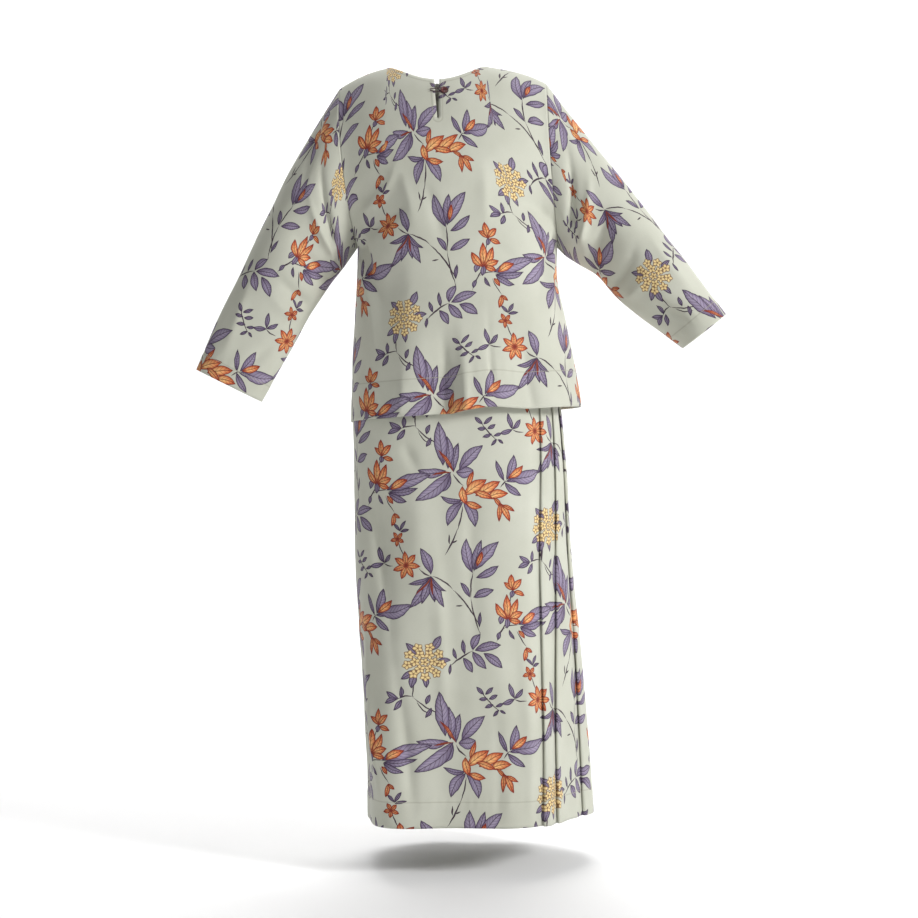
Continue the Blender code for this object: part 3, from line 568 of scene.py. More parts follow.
CLUSTER = Motif(
    103.0, 0.0,
    stems=(
        Leaf(124, -88, 121, -117, 0.9, -2.0),
        Leaf(122, -114, 102, -118, 0.9, -2.0),
        Leaf(121, -115, 152, -138, 0.9, -3.0),
        Leaf(34, 66, 58, 40, 0.8, -1.0),
    ),
    violet=(
        Leaf(122, -80, 106, -92, 4.4, 1.0),
        Leaf(131, -84, 135, -104, 4.0, 1.0),
        Leaf(124, -84, 118, -104, 4.2, -1.0),
        Leaf(128, -60, 112, -46, 4.6, 1.0),
        Leaf(140, -56, 152, -36, 5.2, -1.0),
        Leaf(146, -70, 164, -68, 4.0, 1.0),
        Leaf(104, -117, 88, -108, 3.8, 1.4),
        Leaf(103, -118, 86, -124, 3.6, -1.4),
        Leaf(106, -117, 107, -101, 3.0, -0.6),
        Leaf(108, -118, 98, -132, 3.4, 0.8),
        Leaf(134, -125, 139, -112, 2.8, 0.5),
        Leaf(140, -129, 134, -142, 2.8, 0.5),
        Leaf(38, 62, 28, 72, 2.8, 0.4),
        Leaf(39, 62, 50, 72, 2.8, -0.4),
        Leaf(43, 57, 31, 56, 2.8, 0.4),
        Leaf(44, 56, 55, 62, 2.8, -0.4),
        Leaf(50, 50, 38, 45, 2.6, 0.4),
        Leaf(52, 47, 63, 51, 2.4, -0.4),
        Leaf(56, 43, 49, 34, 2.2, 0.3),
        Leaf(57, 42, 65, 37, 2.0, 0.3),
    ),
    orange=(),
)
MOTIFS = (LILY, STAR, SPRAY, CLUSTER)

# The cream cluster's rings of small flowers
FlowerRing = namedtuple("FlowerRing", "flowers radius reach turn")
CLUSTER_CENTRE = (133.0, -70.0)
CLUSTER_RINGS = (FlowerRing(9, 19.5, 6.6, 0.2), FlowerRing(6, 10.5, 6.4, 0.0))
FLOWER_PETALS = 5
FLOWER_FULLNESS = 0.42
MIDDLE_FLOWER = 6.0

# How the layers are inked: the fill's colours along each leaf and toward its edge, the outline's colour
# and width, how many veins, and half the rib's width, in print units
Ink = namedtuple("Ink", "stops edge line outline veins rib")
STEM_INK = Ink(
    ((0.0, (82, 66, 78)), (1.0, (66, 54, 62))),
    edge=(66, 54, 62), line=(66, 54, 62), outline=0.0, veins=0, rib=0.0,
)
VIOLET_INK = Ink(
    ((0.0, (106, 90, 114)), (0.4, (148, 137, 160)), (1.0, (160, 150, 170))),
    edge=(106, 92, 122), line=(58, 44, 64), outline=1.1, veins=9, rib=0.5,
)
ORANGE_INK = Ink(
    ((0.0, (198, 80, 52)), (0.3, (240, 196, 130)), (0.65, (234, 162, 104)), (1.0, (192, 76, 50))),
    edge=(190, 70, 44), line=(108, 38, 32), outline=1.1, veins=6, rib=0.5,
)
CREAM_INK = Ink(
    ((0.0, (112, 68, 46)), (0.3, (234, 212, 154)), (1.0, (242, 228, 182))),
    edge=(212, 184, 128), line=(98, 60, 48), outline=1.15, veins=0, rib=0.0,
)
EDGE_SHADE = 0.75
EDGE_SHADE_REACH = 4.2
VEIN_SLOPE = 0.22
VEIN_WIDTH = 0.24
VEIN_STRENGTH = 0.42
HALF_SHADE = 0.16
LINE_STRENGTH = 0.85
WANDER = 2.4
WANDER_SCALE = 0.09
# A parabola stands 4 s (1 - s) of its height at a share s of its length, and inside it is below 0
LENS = -4.0
# Depth, share and side where no shape has been drawn yet
NOTHING_DRAWN = (1.0, 0.0, 0.0)

# Cloth finish: dye, slubs and weave in metres, stitches with painted shade in their grooves, and what the
# shader takes; levels are the span of the noise that a mark or a roughness is spread over
DYE_LEVELS = (0.25, 0.75)
MARK_LEVELS = (0.3, 0.7)
SAGE_STOPS = ((0.3, (184, 185, 171)), (0.7, (194, 195, 182)))
DYE_SCALE = 14.0
SLUB_STRETCH = (260.0, 2600.0, 1.0)
SLUB_DETAIL = 2.0
SLUB_SHADE = 0.05
SLUB_HEIGHT = 0.35
WRONG_SIDE_FADE = 0.55
STITCH_LENGTH = 0.0026
STITCH_SHARE = 0.68
THREAD_HALF_WIDTH = 0.00022
THREAD_COLOUR = (176, 174, 156)
THREAD_HEIGHT = 0.9
# Painted shade in the groove beside a stitch line: its reach, its strength and its colour; the groove's
# height is real relief
GROOVE_REACH = 0.0012
GROOVE_SHADE = 0.35
GROOVE_SHADOW_COLOUR = (120, 116, 104)
GROOVE_HEIGHT = 1.2
WEAVE_PITCH = 0.0005
WEAVE_HEIGHT = 0.35
CLOTH_ROUGHNESS = (0.74, 0.86)
CLOTH_BUMP = 0.5
CLOTH_BUMP_DEPTH = 0.00012
CLOTH_SHEEN = 0.12
CLOTH_SHEEN_ROUGHNESS = 0.5
CLOTH_SPECULAR = 0.25
BAND_STITCH_PITCH = 0.007
BAND_STITCH_SHARE = 0.93

# Button and cord finish
PLUM_STOPS = ((0.3, (74, 34, 36)), (0.7, (104, 52, 50)))
CORD_STOPS = ((0.3, (58, 40, 44)), (0.7, (84, 62, 64)))
BUTTON_ROUGHNESS = (0.28, 0.42)
CORD_ROUGHNESS = (0.7, 0.85)
BUTTON_MARKS = 900.0
CORD_MARKS = 5000.0
DARK_BUMP = 0.4
DARK_BUMP_DEPTH = 0.00008

# Studio
FLOOR = -1.017
WALL_AT = 3.4
WALL_BEND = 0.8
BEND_STEPS = 16
WALL_TOP = 4.0
FLOOR_FRONT = -4.0
FLOOR_HALF_WIDTH = 6.0
STUDIO_PALE = (0.93, 0.93, 0.93)
STUDIO_ROUGHNESS = 0.9
AIR = 0.30
Lamp = namedtuple("Lamp", "name place target size watts")
LIGHTS = (
    Lamp("key", (2.4, -1.5, 0.6), (0.05, 0.0, -0.45), 0.8, 74.0),
    Lamp("fill", (-0.6, -2.6, 0.3), (0.0, 0.0, -0.5), 1.6, 7.0),
    Lamp("back", (-1.4, 2.3, 1.3), (0.0, 0.0, -0.5), 1.4, 3.0),
    Lamp("backdrop", (0.0, 1.7, 2.8), (0.0, 3.3, -0.9), 2.6, 130.0),
)

CAMERA_PLACE = (0.028, -2.5, -0.50)
CAMERA_FOCAL_PIXELS = 1932.0
PICTURE_SIDE = 918.0
SENSOR = 36.0


def smooth(value, low, high):
    """0 below low, 1 above high, and an eased rise between."""
    share = min(max((value - low) / (high - low), 0.0), 1.0)
    return share * share * (3.0 - 2.0 * share)


def smooth_all(values, low, high):
    """The same for an array."""
    share = np.clip((values - low) / (high - low), 0.0, 1.0)
    return share * share * (3.0 - 2.0 * share)


def mix(first, second, share):
    return first + (second - first) * share


def read(table, column, place):
    """A column of a table where its first column is at a place, on a smooth curve through the rows."""
    places = [row[0] for row in table]
    values = [getattr(row, column) for row in table]
    last = len(table) - 1
    place = min(max(place, places[0]), places[last])
    start = min(bisect.bisect_right(places, place), last) - 1

    def slope(row):
        low = max(row - 1, 0)
        high = min(row + 1, last)
        return (values[high] - values[low]) / (places[high] - places[low])

    span = places[start + 1] - places[start]
    t = (place - places[start]) / span
    ease = t * t * (3.0 - 2.0 * t)
    pull_out = t * (1.0 - t) ** 2 * span * slope(start)
    pull_in = t * t * (1.0 - t) * span * slope(start + 1)
    return mix(values[start], values[start + 1], ease) + pull_out - pull_in


def fold_height(folds, angle, drop):
    """How far the large folds move the cloth outwards at an angle and a drop."""
    height = 0.0
    for fold in folds:
        away = (angle - fold.angle + 180.0) % 360.0 - 180.0
        if abs(away) >= fold.reach:
            continue
        shape = math.cos(math.pi / 2.0 * away / fold.reach) ** 2
        growth = smooth(drop, fold.start, fold.full)
        fading = mix(1.0, fold.share, smooth(drop, fold.full, fold.end))
        height += fold.height * shape * growth * fading
    return height


def section_radius(levels, squareness, angle, drop):
    """Distance from the spine to a section's outline, for an angle in degrees."""
    spine = read(SPINE, "x", drop)
    across = math.cos(math.radians(angle))
    along = math.sin(math.radians(angle))
    right_power, left_power = squareness
    power = mix(right_power, left_power, smooth(across, -SQUARENESS_BLEND, SQUARENESS_BLEND))
    if across > 0.0:
        half_width = read(levels, "left", drop) - spine
    else:
        half_width = spine - read(levels, "right", drop)
    depth = read(levels, "back" if along > 0.0 else "front", drop)
    return ((abs(across) / half_width) ** power + (abs(along) / depth) ** power) ** (-1.0 / power)


def skirt_radius(angle, drop):
    """The skirt's outline with its large folds."""
    return section_radius(SKIRT_LEVELS, SKIRT_SQUARENESS, angle, drop) + fold_height(SKIRT_FOLDS, angle, drop)


def tunic_radius(angle, drop):
    """The tunic's outline, kept just clear of the skirt that it hangs on."""
    radius = section_radius(TUNIC_LEVELS, TUNIC_SQUARENESS, angle, drop)
    radius += fold_height(TUNIC_FOLDS, angle, drop)
    return max(radius, skirt_radius(angle, drop) + SOLID_WALL + DRAPE_GAP)


def around(angle, radius, drop):
    """The point at an angle and a radius from the spine."""
    turn = math.radians(angle)
    x = read(SPINE, "x", drop) + radius * math.cos(turn)
    return Vector((x, radius * math.sin(turn), -drop))


def seam_angle(radius):
    """The angle of half a seam gap."""
    return math.degrees(SEAM / 2.0 / radius)


def hem_drop(angle):
    """The tunic's hem, which is lower at the wearer's right and lifts over the front ridge."""
    x = around(angle, tunic_radius(angle, HEM_DROP), HEM_DROP).x
    drop = HEM_DROP - HEM_TILT * x
    if math.sin(math.radians(angle)) < 0.0:
        away = min(abs(x - HEM_LIFT_AT) / HEM_LIFT_REACH, 1.0)
        drop -= HEM_LIFT * math.cos(math.pi / 2.0 * away) ** 2
    return drop


def sheet_columns():
    """Places of the fine columns among the part's coarse ones, with the slit's strip in the middle."""
    left = SHEET_COLUMNS // 2
    right = left - 1
    columns = [i / FINE_STEPS for i in range(right * FINE_STEPS + 1)]
    columns += [right + i / SLIT_STEPS for i in range(1, SLIT_STEPS)]
    columns += [left + i / FINE_STEPS for i in range(right * FINE_STEPS + 1)]
    return columns


def top_place(column, neck_drop):
    """A column's x on the shoulder seam or neckline, and its share of the full height there."""
    last = SHEET_COLUMNS - 1
    from_side = min(column, last - column)
    side = -1.0 if column < last / 2.0 else 1.0
    tip = RIGHT_TIP if side < 0.0 else LEFT_TIP
    if from_side < SHOULDER_COLUMNS:
        return mix(tip, side * NECK_HALF_WIDTH, from_side / SHOULDER_COLUMNS), 1.0
    half = SHEET_COLUMNS // 2 - 1 - SHOULDER_COLUMNS
    slit_angle = math.asin(SLIT_HALF_WIDTH / NECK_HALF_WIDTH)
    turn = mix(math.pi / 2.0, slit_angle, min((from_side - SHOULDER_COLUMNS) / half, 1.0))
    share = 1.0 - neck_drop * math.cos(turn) ** ARCH_POWER
    x = side * NECK_HALF_WIDTH * math.sin(turn)
    strip = SHEET_COLUMNS // 2 - 1
    if strip < column < strip + 1:
        x = mix(-SLIT_HALF_WIDTH, SLIT_HALF_WIDTH, column - strip)
    return x, share


def crest_height(x):
    """Height of the line over the shoulders, which falls with the cube of the distance from the neck."""
    fall = LEFT_CREST_FALL if x > 0.0 else RIGHT_CREST_FALL
    return CREST - fall * abs(x) ** 3


def edge_x(foot, tip, share):
    """How a column leans from its foot at the armpit level to its top."""
    return mix(foot, tip, 1.0 - (1.0 - share) ** 2)


def foot_shape(places, depths, place):
    """Depth of the armpit row at a share of the way across it, as a share of its greatest depth."""
    i = min(max(bisect.bisect_right(places, place) - 1, 0), len(places) - 2)
    share = (place - places[i]) / (places[i + 1] - places[i])
    return mix(depths[i], depths[i + 1], share)


def lower_rows(angles):
    """The tunic's rows from the hem up to just below the armpits."""
    hems = [hem_drop(angle) for angle in angles]
    rows = []
    for j in range(LOWER_ROWS):
        drops = [mix(hem, ARMPIT_DROP, j / LOWER_ROWS) for hem in hems]
        rows.append([around(a, tunic_radius(a, d), d) for a, d in zip(angles, drops)])
    return rows


def arch_share(row):
    """Share of the height where a row above the armpits lies, so that rows are even round the arch."""
    return math.sin(math.pi / 2.0 * row / UPPER_ROWS) ** (2.0 / ARCH_POWER)


def chest_depth(share, shape, full_depth):
    """Depth at a share of the height: an arch that meets the armhole's rim at both sides."""
    arch = full_depth * max(1.0 - share ** ARCH_POWER, 0.0) ** (1.0 / ARCH_POWER)
    rim = ARMHOLE_HALF_DEPTH * max(1.0 - (2.0 * share - 1.0) ** 2, 0.0) ** RIM_POWER
    easing = smooth(share, 0.0, EDGE_POWER_FROM)
    inside = shape ** mix(1.0, EDGE_POWER, easing)
    depth = arch * inside + rim * (1.0 - inside) ** mix(RIM_FADE, 1.0, easing)
    return max(depth, SEAM / 2.0)


def tunic_grid(start, neck_drop):
    """Points of the front (start 180) or the back (start 0), from the hem up and from side to side."""
    facing = -1.0 if start == 180.0 else 1.0
    columns = sheet_columns()
    first = start + seam_angle(tunic_radius(start, ARMPIT_DROP))
    last = start + 180.0 - seam_angle(tunic_radius(start + 180.0, ARMPIT_DROP))
    angles = [mix(first, last, c / (SHEET_COLUMNS - 1)) for c in columns]
    feet = [around(a, tunic_radius(a, ARMPIT_DROP), ARMPIT_DROP) for a in angles]
    edge = [top_place(c, neck_drop) for c in columns]
    if facing > 0.0:
        edge.reverse()
    full_depth = max(abs(foot.y) for foot in feet)
    width = feet[-1].x - feet[0].x
    places = [(foot.x - feet[0].x) / width for foot in feet]
    depths = [abs(foot.y) / full_depth for foot in feet]
    rows = lower_rows(angles)
    for j in range(UPPER_ROWS + 1):
        row = []
        for foot, (top_x, top_share) in zip(feet, edge):
            toward_middle = ((1.0 - top_share) / neck_drop) ** NECK_ROW_SPREAD
            ratio = mix(arch_share(j), j / UPPER_ROWS, toward_middle)
            share = ratio * top_share
            left = edge_x(feet[0].x, edge[0][0], share)
            right = edge_x(feet[-1].x, edge[-1][0], share)
            x = edge_x(foot.x, top_x, ratio)
            shape = foot_shape(places, depths, (x - left) / (right - left))
            depth = chest_depth(share, shape, full_depth)
            row.append(Vector((x, facing * depth, mix(-ARMPIT_DROP, crest_height(top_x), share))))
        rows.append(row)
    return rows


def slit_columns():
    """The fine columns at the slit's right and left edge."""
    right = (SHEET_COLUMNS // 2 - 1) * FINE_STEPS
    return right, right + SLIT_STEPS


def slit_foot_row():
    """The row where the slit ends."""
    return LOWER_ROWS + math.ceil(SLIT_FOOT_SHARE * UPPER_ROWS)


def narrow_slit(rows):
    """Bring the slit's edges together, narrowest at its foot."""
    right, left = slit_columns()
    for j in range(LOWER_ROWS, len(rows)):
        share = (j - LOWER_ROWS) / UPPER_ROWS
        strength = smooth(share, SLIT_FOOT_SHARE - SLIT_NARROWING, SLIT_FOOT_SHARE)
        half = mix(SLIT_FOOT_HALF_WIDTH, SLIT_HALF_WIDTH, smooth(share, SLIT_FOOT_SHARE, 1.0))
        middle = (rows[j][left].x + rows[j][right].x) / 2.0
        for i in range(right, left + 1):
            place = middle + half * mix(-1.0, 1.0, (i - right) / (left - right))
            rows[j][i].x = mix(rows[j][i].x, place, strength)


def armhole(front, back, column):
    """The armhole's loop, up its front edge and down its back edge, with the ways out of the tunic there."""
    back_column = len(front[0]) - 1 - column
    inward = FINE_STEPS if column == 0 else -FINE_STEPS
    loop = []
    for row in range(LOWER_ROWS, len(front)):
        loop.append((front[row][column], front[row][column + inward]))
    for row in range(len(back) - 2, LOWER_ROWS, -1):
        loop.append((back[row][back_column], back[row][back_column - inward]))
    rim = [point for point, inside in loop]
    rim[0] = (front[LOWER_ROWS][column] + back[LOWER_ROWS][back_column]) / 2.0
    rim[UPPER_ROWS] = (front[-1][column] + back[-1][back_column]) / 2.0
    leads = []
    for k, (point, inside) in enumerate(loop):
        along = rim[(k + 1) % len(rim)] - rim[k - 1]
        normal = (point - inside).cross(along)
        lead = along.cross(normal).normalized()
        if lead.dot(point - inside) < 0.0:
            lead.negate()
        leads.append(lead)
    leads[0] = Vector((0.0, 0.0, 1.0))
    return rim, leads


def dent_height(dents, share, angle):
    """How far a sleeve's large folds move its cloth outwards."""
    height = 0.0
    for dent in dents:
        away = (angle - dent.angle + 180.0) % 360.0 - 180.0
        along = (share - dent.share) / dent.share_reach
        across = away / dent.angle_reach
        height += dent.height * math.exp(-along * along - across * across)
    return height


def sleeve_point(rings, dents, share, angle):
    """A point of a sleeve: 0 degrees is below the arm, 90 in front, 180 above and 270 behind."""
    upper = Vector((read(rings, "upper_x", share), 0.0, read(rings, "upper_z", share)))
    lower = Vector((read(rings, "lower_x", share), 0.0, read(rings, "lower_z", share)))
    forward = Vector((0.0, -read(rings, "forward", share), 0.0))
    turn = math.radians(angle)
    half = (lower - upper) / 2.0
    arm = half * math.cos(turn) + Vector((0.0, -read(rings, "half_depth", share) * math.sin(turn), 0.0))
    arm += arm.normalized() * dent_height(dents, share, angle) * smooth(share, 0.0, SLEEVE_BLEND)
    return (upper + lower) / 2.0 + forward + arm


def sleeve_grid(rings, dents, rim, leads):
    """Rings of a sleeve, from the open cuff to the one that lies a seam gap from the armhole."""
    count = len(rim)
    start_angles = [math.degrees(math.acos(1.0 - 2.0 * arch_share(j))) for j in range(UPPER_ROWS + 1)]
    start_angles += [360.0 - angle for angle in reversed(start_angles[1:UPPER_ROWS])]
    first = [point + lead * SEAM for point, lead in zip(rim, leads)]
    loft = [first]
    start_shapes = [sleeve_point(rings, (), 0.0, angle) for angle in start_angles]
    for j in range(1, SLEEVE_RINGS + 1):
        share = j / SLEEVE_RINGS
        blend = smooth(share, 0.0, SLEEVE_BLEND)
        ring = []
        for k in range(count):
            angle = mix(start_angles[k], 360.0 * k / count, blend)
            shape = sleeve_point(rings, dents, share, angle)
            ring.append(shape + (first[k] - start_shapes[k]) * (1.0 - blend))
        loft.append(ring)
    loft.reverse()
    return loft


def pleat_sizes(drop):
    """Depth of a pleat's loop and of its tuck, which both open towards the hem."""
    share = smooth(drop, WAIST_DROP, SKIRT_HEM_DROP)
    return mix(*PLEAT_LOOP, share), mix(*PLEAT_TUCK, share)


def degrees_per_metre(angle, drop):
    """How far round the spine a metre of the skirt reaches."""
    return math.degrees(1.0 / skirt_radius(angle, drop))


def pleat_stations(edge, approach, dip, drop):
    """One knife pleat as angles and depths: its approach, underlay, tuck, return and rounded fold edge."""
    loop, tuck = pleat_sizes(drop)
    whole = loop + tuck
    turn = degrees_per_metre(edge, drop)
    course = []
    for i in range(APPROACH_COLUMNS):
        share = i / APPROACH_COLUMNS - 1.0
        course.append((share * approach, whole * smooth(share, -1.0, 0.0)))

    def add(place, depth):
        course.append((place, depth + whole * smooth(place, *dip)))

    for i in range(LAP_COLUMNS):
        add(mix(0.0, UNDERLAP, i / LAP_COLUMNS), whole)
    for i in range(EDGE_STEPS // 2 + 1):
        nose = math.pi * i / (EDGE_STEPS // 2)
        add(UNDERLAP + tuck / 2.0 * math.sin(nose), loop + tuck / 2.0 * (1.0 + math.cos(nose)))
    for i in range(1, LAP_COLUMNS):
        add(mix(UNDERLAP, loop / 2.0, i / LAP_COLUMNS), loop)
    for step in range(EDGE_STEPS + 1):
        nose = math.pi * step / EDGE_STEPS
        add(loop / 2.0 * (1.0 - math.sin(nose)), loop / 2.0 * (1.0 + math.cos(nose)))
    return [(edge + place * turn, depth) for place, depth in course]


def skirt_front_row(drop):
    """The front panel, its three pleats and the face that runs on to the wearer's left side seam."""
    edges = [360.0 - read(PLEATS, name, drop) for name in Pleats._fields[1:]]
    start = 180.0 + seam_angle(skirt_radius(180.0, drop))
    finish = 360.0 - seam_angle(skirt_radius(0.0, drop))
    approach = PLEAT_APPROACH
    panel_end = edges[0] - approach * degrees_per_metre(edges[0], drop)
    stations = [(mix(start, panel_end, i / FRONT_PANEL_COLUMNS), 0.0) for i in range(FRONT_PANEL_COLUMNS)]
    for edge, following, columns in zip(edges, edges[1:] + [finish], FACE_COLUMNS):
        gap = (following - edge) / degrees_per_metre(edge, drop)
        next_approach = min(PLEAT_APPROACH, gap - FACE_SHOWING)
        if following == finish:
            next_approach = 0.0
        dip = (gap - next_approach, gap + SEAM)
        stations += pleat_stations(edge, approach, dip, drop)
        face_start = pleat_sizes(drop)[0] / 2.0
        for i in range(1, columns + 1):
            place = mix(face_start, gap - next_approach, i / (columns + 1))
            stations.append((edge + place * degrees_per_metre(edge, drop), 0.0))
        approach = next_approach
    stations.append((finish, 0.0))
    return [around(angle, skirt_radius(angle, drop) - depth, drop) for angle, depth in stations]


def skirt_back_row(drop):
    """A row of the plain back panel, from seam to seam."""
    start = seam_angle(skirt_radius(0.0, drop))
    finish = 180.0 - seam_angle(skirt_radius(180.0, drop))
    angles = [mix(start, finish, i / (BACK_PANEL_COLUMNS - 1)) for i in range(BACK_PANEL_COLUMNS)]
    return [around(angle, skirt_radius(angle, drop), drop) for angle in angles]


def skirt_grid(row_at):
    """Rows of a skirt panel, from the hem up."""
    return [row_at(mix(SKIRT_HEM_DROP, WAIST_DROP, j / SKIRT_ROWS)) for j in range(SKIRT_ROWS + 1)]


def as_array(rows):
    """Rows of points as an array of rows, columns and coordinates."""
    return np.array([[tuple(point) for point in row] for row in rows])


def differences(points, axis, closed=False):
    """Central differences along rows (axis 1) or columns (axis 0)."""
    if closed:
        return np.roll(points, -1, axis) - np.roll(points, 1, axis)
    return np.gradient(points, axis=axis) * 2.0


def outward(points, closed=False):
    """Unit normals of a grid, pointing out of the garment."""
    normals = np.cross(differences(points, 1, closed), differences(points, 0))
    return normals / np.maximum(np.linalg.norm(normals, axis=2, keepdims=True), TINY)


def cloth_places(points, middle):
    """Each point's place in the cloth: metres across from the middle column and up from the lowest row."""
    across_steps = np.linalg.norm(np.diff(points, axis=1), axis=2)
    across = np.concatenate([np.zeros((points.shape[0], 1)), np.cumsum(across_steps, axis=1)], axis=1)
    across -= across[:, middle:middle + 1]
    up_steps = np.linalg.norm(np.diff(points, axis=0), axis=2)
    up = np.concatenate([np.zeros((1, points.shape[1])), np.cumsum(up_steps, axis=0)], axis=0)
    return np.stack([across, up], axis=2)


def crease_heights(places, creases):
    """Sum of the creases' heights over the cloth."""
    total = np.zeros(places.shape[:2])
    for crease in creases:
        start = np.array([crease.u0, crease.v0])
        run = np.array([crease.u1, crease.v1]) - start
        length = np.linalg.norm(run)
        along = (places - start) @ run / length ** 2
        left = (places - start) @ np.array([-run[1], run[0]]) / length
        share = np.clip(along, 0.0, 1.0)
        off_line = left - crease.bow * 4.0 * share * (1.0 - share)
        past_end = (along - share) * length
        away = np.sqrt(off_line ** 2 + past_end ** 2) / crease.reach
        rise = smooth_all(share, 0.0, max(crease.peak, CREASE_ONSET))
        fall = 1.0 - smooth_all(share, crease.peak, 1.0)
        total += CREASE_STRENGTH * crease.height * rise * fall / (1.0 + away ** 2) ** CREASE_FALLOFF
    return total


def swells(points, seed):
    """Slow, small unevenness of the cloth."""
    offset = Vector([seed * stride for stride in SWELL_STRIDE])
    heights = np.zeros(points.shape[:2])
    for j in range(points.shape[0]):
        for i in range(points.shape[1]):
            point = Vector(points[j, i]) + offset
            slow = noise.noise(point / SWELL_SIZE)
            quick = noise.noise(point / RIPPLE_SIZE)
            heights[j, i] = slow * SWELL_HEIGHT + quick * RIPPLE_HEIGHT
    return heights


def rumples(cloth, node):
    """Creases and unevenness of a node's cloth."""
    seed = list(CREASES).index(node) + 1
    return crease_heights(cloth.places, CREASES[node]) + swells(cloth.points, seed)


def edge_distances(points, line):
    """Each point's distance from an edge, and how far along the edge its nearest place is."""
    line = np.array(line)
    runs = np.concatenate([[0.0], np.cumsum(np.linalg.norm(np.diff(line, axis=0), axis=1))])
    flat = points.reshape(-1, 1, 3)
    squares = ((flat - line[None]) ** 2).sum(axis=2)
    nearest = squares.argmin(axis=1)
    distance = np.sqrt(squares[np.arange(len(nearest)), nearest])
    return distance.reshape(points.shape[:2]), runs[nearest].reshape(points.shape[:2])


def hem_heights(distance, along, depth):
    """The doubled cloth inside a stitch line, and the puckers that the stitches pull."""
    step = HEM_STEP * (1.0 - smooth_all(distance, depth - HEM_STEP_REACH, depth))
    puckers = along / PUCKER_PITCH
    waves = np.sin(puckers * 2.0 * math.pi + PUCKER_DRIFT * np.sin(puckers * PUCKER_DRIFT_RATE))
    return step + PUCKER_HEIGHT * waves * np.exp(-((distance - depth) / PUCKER_REACH) ** 2)


def side_fade(places, reach):
    """0 at a sheet's first and last column and 1 further in."""
    across = places[..., 0]
    from_side = np.minimum(across - across[:, :1], across[:, -1:] - across)
    return smooth_all(from_side, 0.0, reach)


def top_fade(places):
    """0 at a grid's last row and 1 below it."""
    up = places[..., 1]
    return smooth_all(up[-1:] - up, 0.0, TOP_FADE_REACH)


Sewn = namedtuple("Sewn", "off along")


class Cloth:
    """A grid of points with its places in the cloth, its sewing and the thickness of its wall."""

    def __init__(self, rows, middle, closed=False):
        self.points = as_array(rows)
        self.closed = closed
        self.normals = outward(self.points, closed)
        self.corner_places = cloth_places(self.closed_up(), middle)
        self.places = self.corner_places[:, :-1] if closed else self.corner_places
        self.print_places = self.corner_places
        self.walls = np.full(self.points.shape[:2], CLOTH_WALL)
        self.sewn = Sewn(np.full(self.points.shape[:2], FAR_AWAY), np.zeros(self.points.shape[:2]))
        self.left_out = set()

    def closed_up(self):
        """The points, with a tube's first column again after its last."""
        if self.closed:
            return np.concatenate([self.points, self.points[:, :1]], axis=1)
        return self.points

    def raise_by(self, heights):
        """Move every point out by its height."""
        self.points = self.points + self.normals * heights[..., None]

    def sew(self, distance, along, depth):
        """Note a stitch line where it is nearer than those that are there."""
        off = distance - depth
        nearer = np.abs(off) < np.abs(self.sewn.off)
        self.sewn = Sewn(np.where(nearer, off, self.sewn.off), np.where(nearer, along, self.sewn.along))
        self.walls = self.walls + HEM_LAYER * (1.0 - smooth_all(distance, depth - HEM_STEP_REACH, depth))

    def hem(self, depth):
        """Sew a hem along the lowest row, and return how far it stands out."""
        along = self.places[..., 0]
        up = self.places[..., 1]
        self.sew(up, along, depth)
        return hem_heights(up, along, depth)

    def area(self):
        """Area of the outer side."""
        points = self.closed_up()
        first = np.cross(points[:-1, 1:] - points[:-1, :-1], points[1:, 1:] - points[:-1, :-1])
        second = np.cross(points[1:, 1:] - points[:-1, :-1], points[1:, :-1] - points[:-1, :-1])
        areas = (np.linalg.norm(first, axis=2) + np.linalg.norm(second, axis=2)) / 2.0
        for j, i in self.left_out:
            areas[j, i] = 0.0
        return float(areas.sum())


def bake_place(place, low, high, inside):
    """A place in the map that keeps the outer side, the inner side and the rims apart."""
    across, up = (place - low) / (high - low)
    x = mix(BAKE_MARGIN, 1.0 - BAKE_MARGIN, across)
    if inside:
        return x, mix(BAKE_MARGIN, BAKE_INSIDE_SHARE, up)
    return x, mix(BAKE_INSIDE_SHARE + 3.0 * BAKE_MARGIN, 1.0 - BAKE_MARGIN, up)


def sheet_faces(cloth):
    """The faces of a cloth's grid, as corners among its points and as corners among its places."""
    rows, columns = cloth.points.shape[:2]
    spans = cloth.corner_places.shape[1]
    faces = []
    corners = []
    for j in range(rows - 1):
        for i in range(columns if cloth.closed else columns - 1):
            if (j, i) in cloth.left_out:
                continue
            k = (i + 1) % columns
            faces.append((j * columns + i, j * columns + k, (j + 1) * columns + k, (j + 1) * columns + i))
            corners.append((j * spans + i, j * spans + i + 1, (j + 1) * spans + i + 1, (j + 1) * spans + i))
    return faces, corners


def open_edges(faces, corners):
    """The edges that belong to one face only, each with its ends among the places."""
    edges = {}
    for face, corner in zip(faces, corners):
        for n in range(4):
            edge = (face[n], face[(n + 1) % 4])
            if edges.pop((edge[1], edge[0]), None) is None:
                edges[edge] = (corner[n], corner[(n + 1) % 4])
    return edges


def shell_faces(cloth):
    """Faces of the outer side, inner side and rims, with the place, side and growth of each corner."""
    faces, corners = sheet_faces(cloth)
    count = cloth.points.shape[0] * cloth.points.shape[1]
    whole = faces + [tuple(count + v for v in reversed(face)) for face in faces]
    marks = [(c, False, 0.0) for corner in corners for c in corner]
    marks += [(c, True, 0.0) for corner in corners for c in reversed(corner)]
    for (a, b), (ca, cb) in open_edges(faces, corners).items():
        whole.append((b, a, a + count, b + count))
        marks += [(cb, False, 0.0), (ca, False, 0.0), (ca, False, BAKE_RIM), (cb, False, BAKE_RIM)]
    return whole, marks


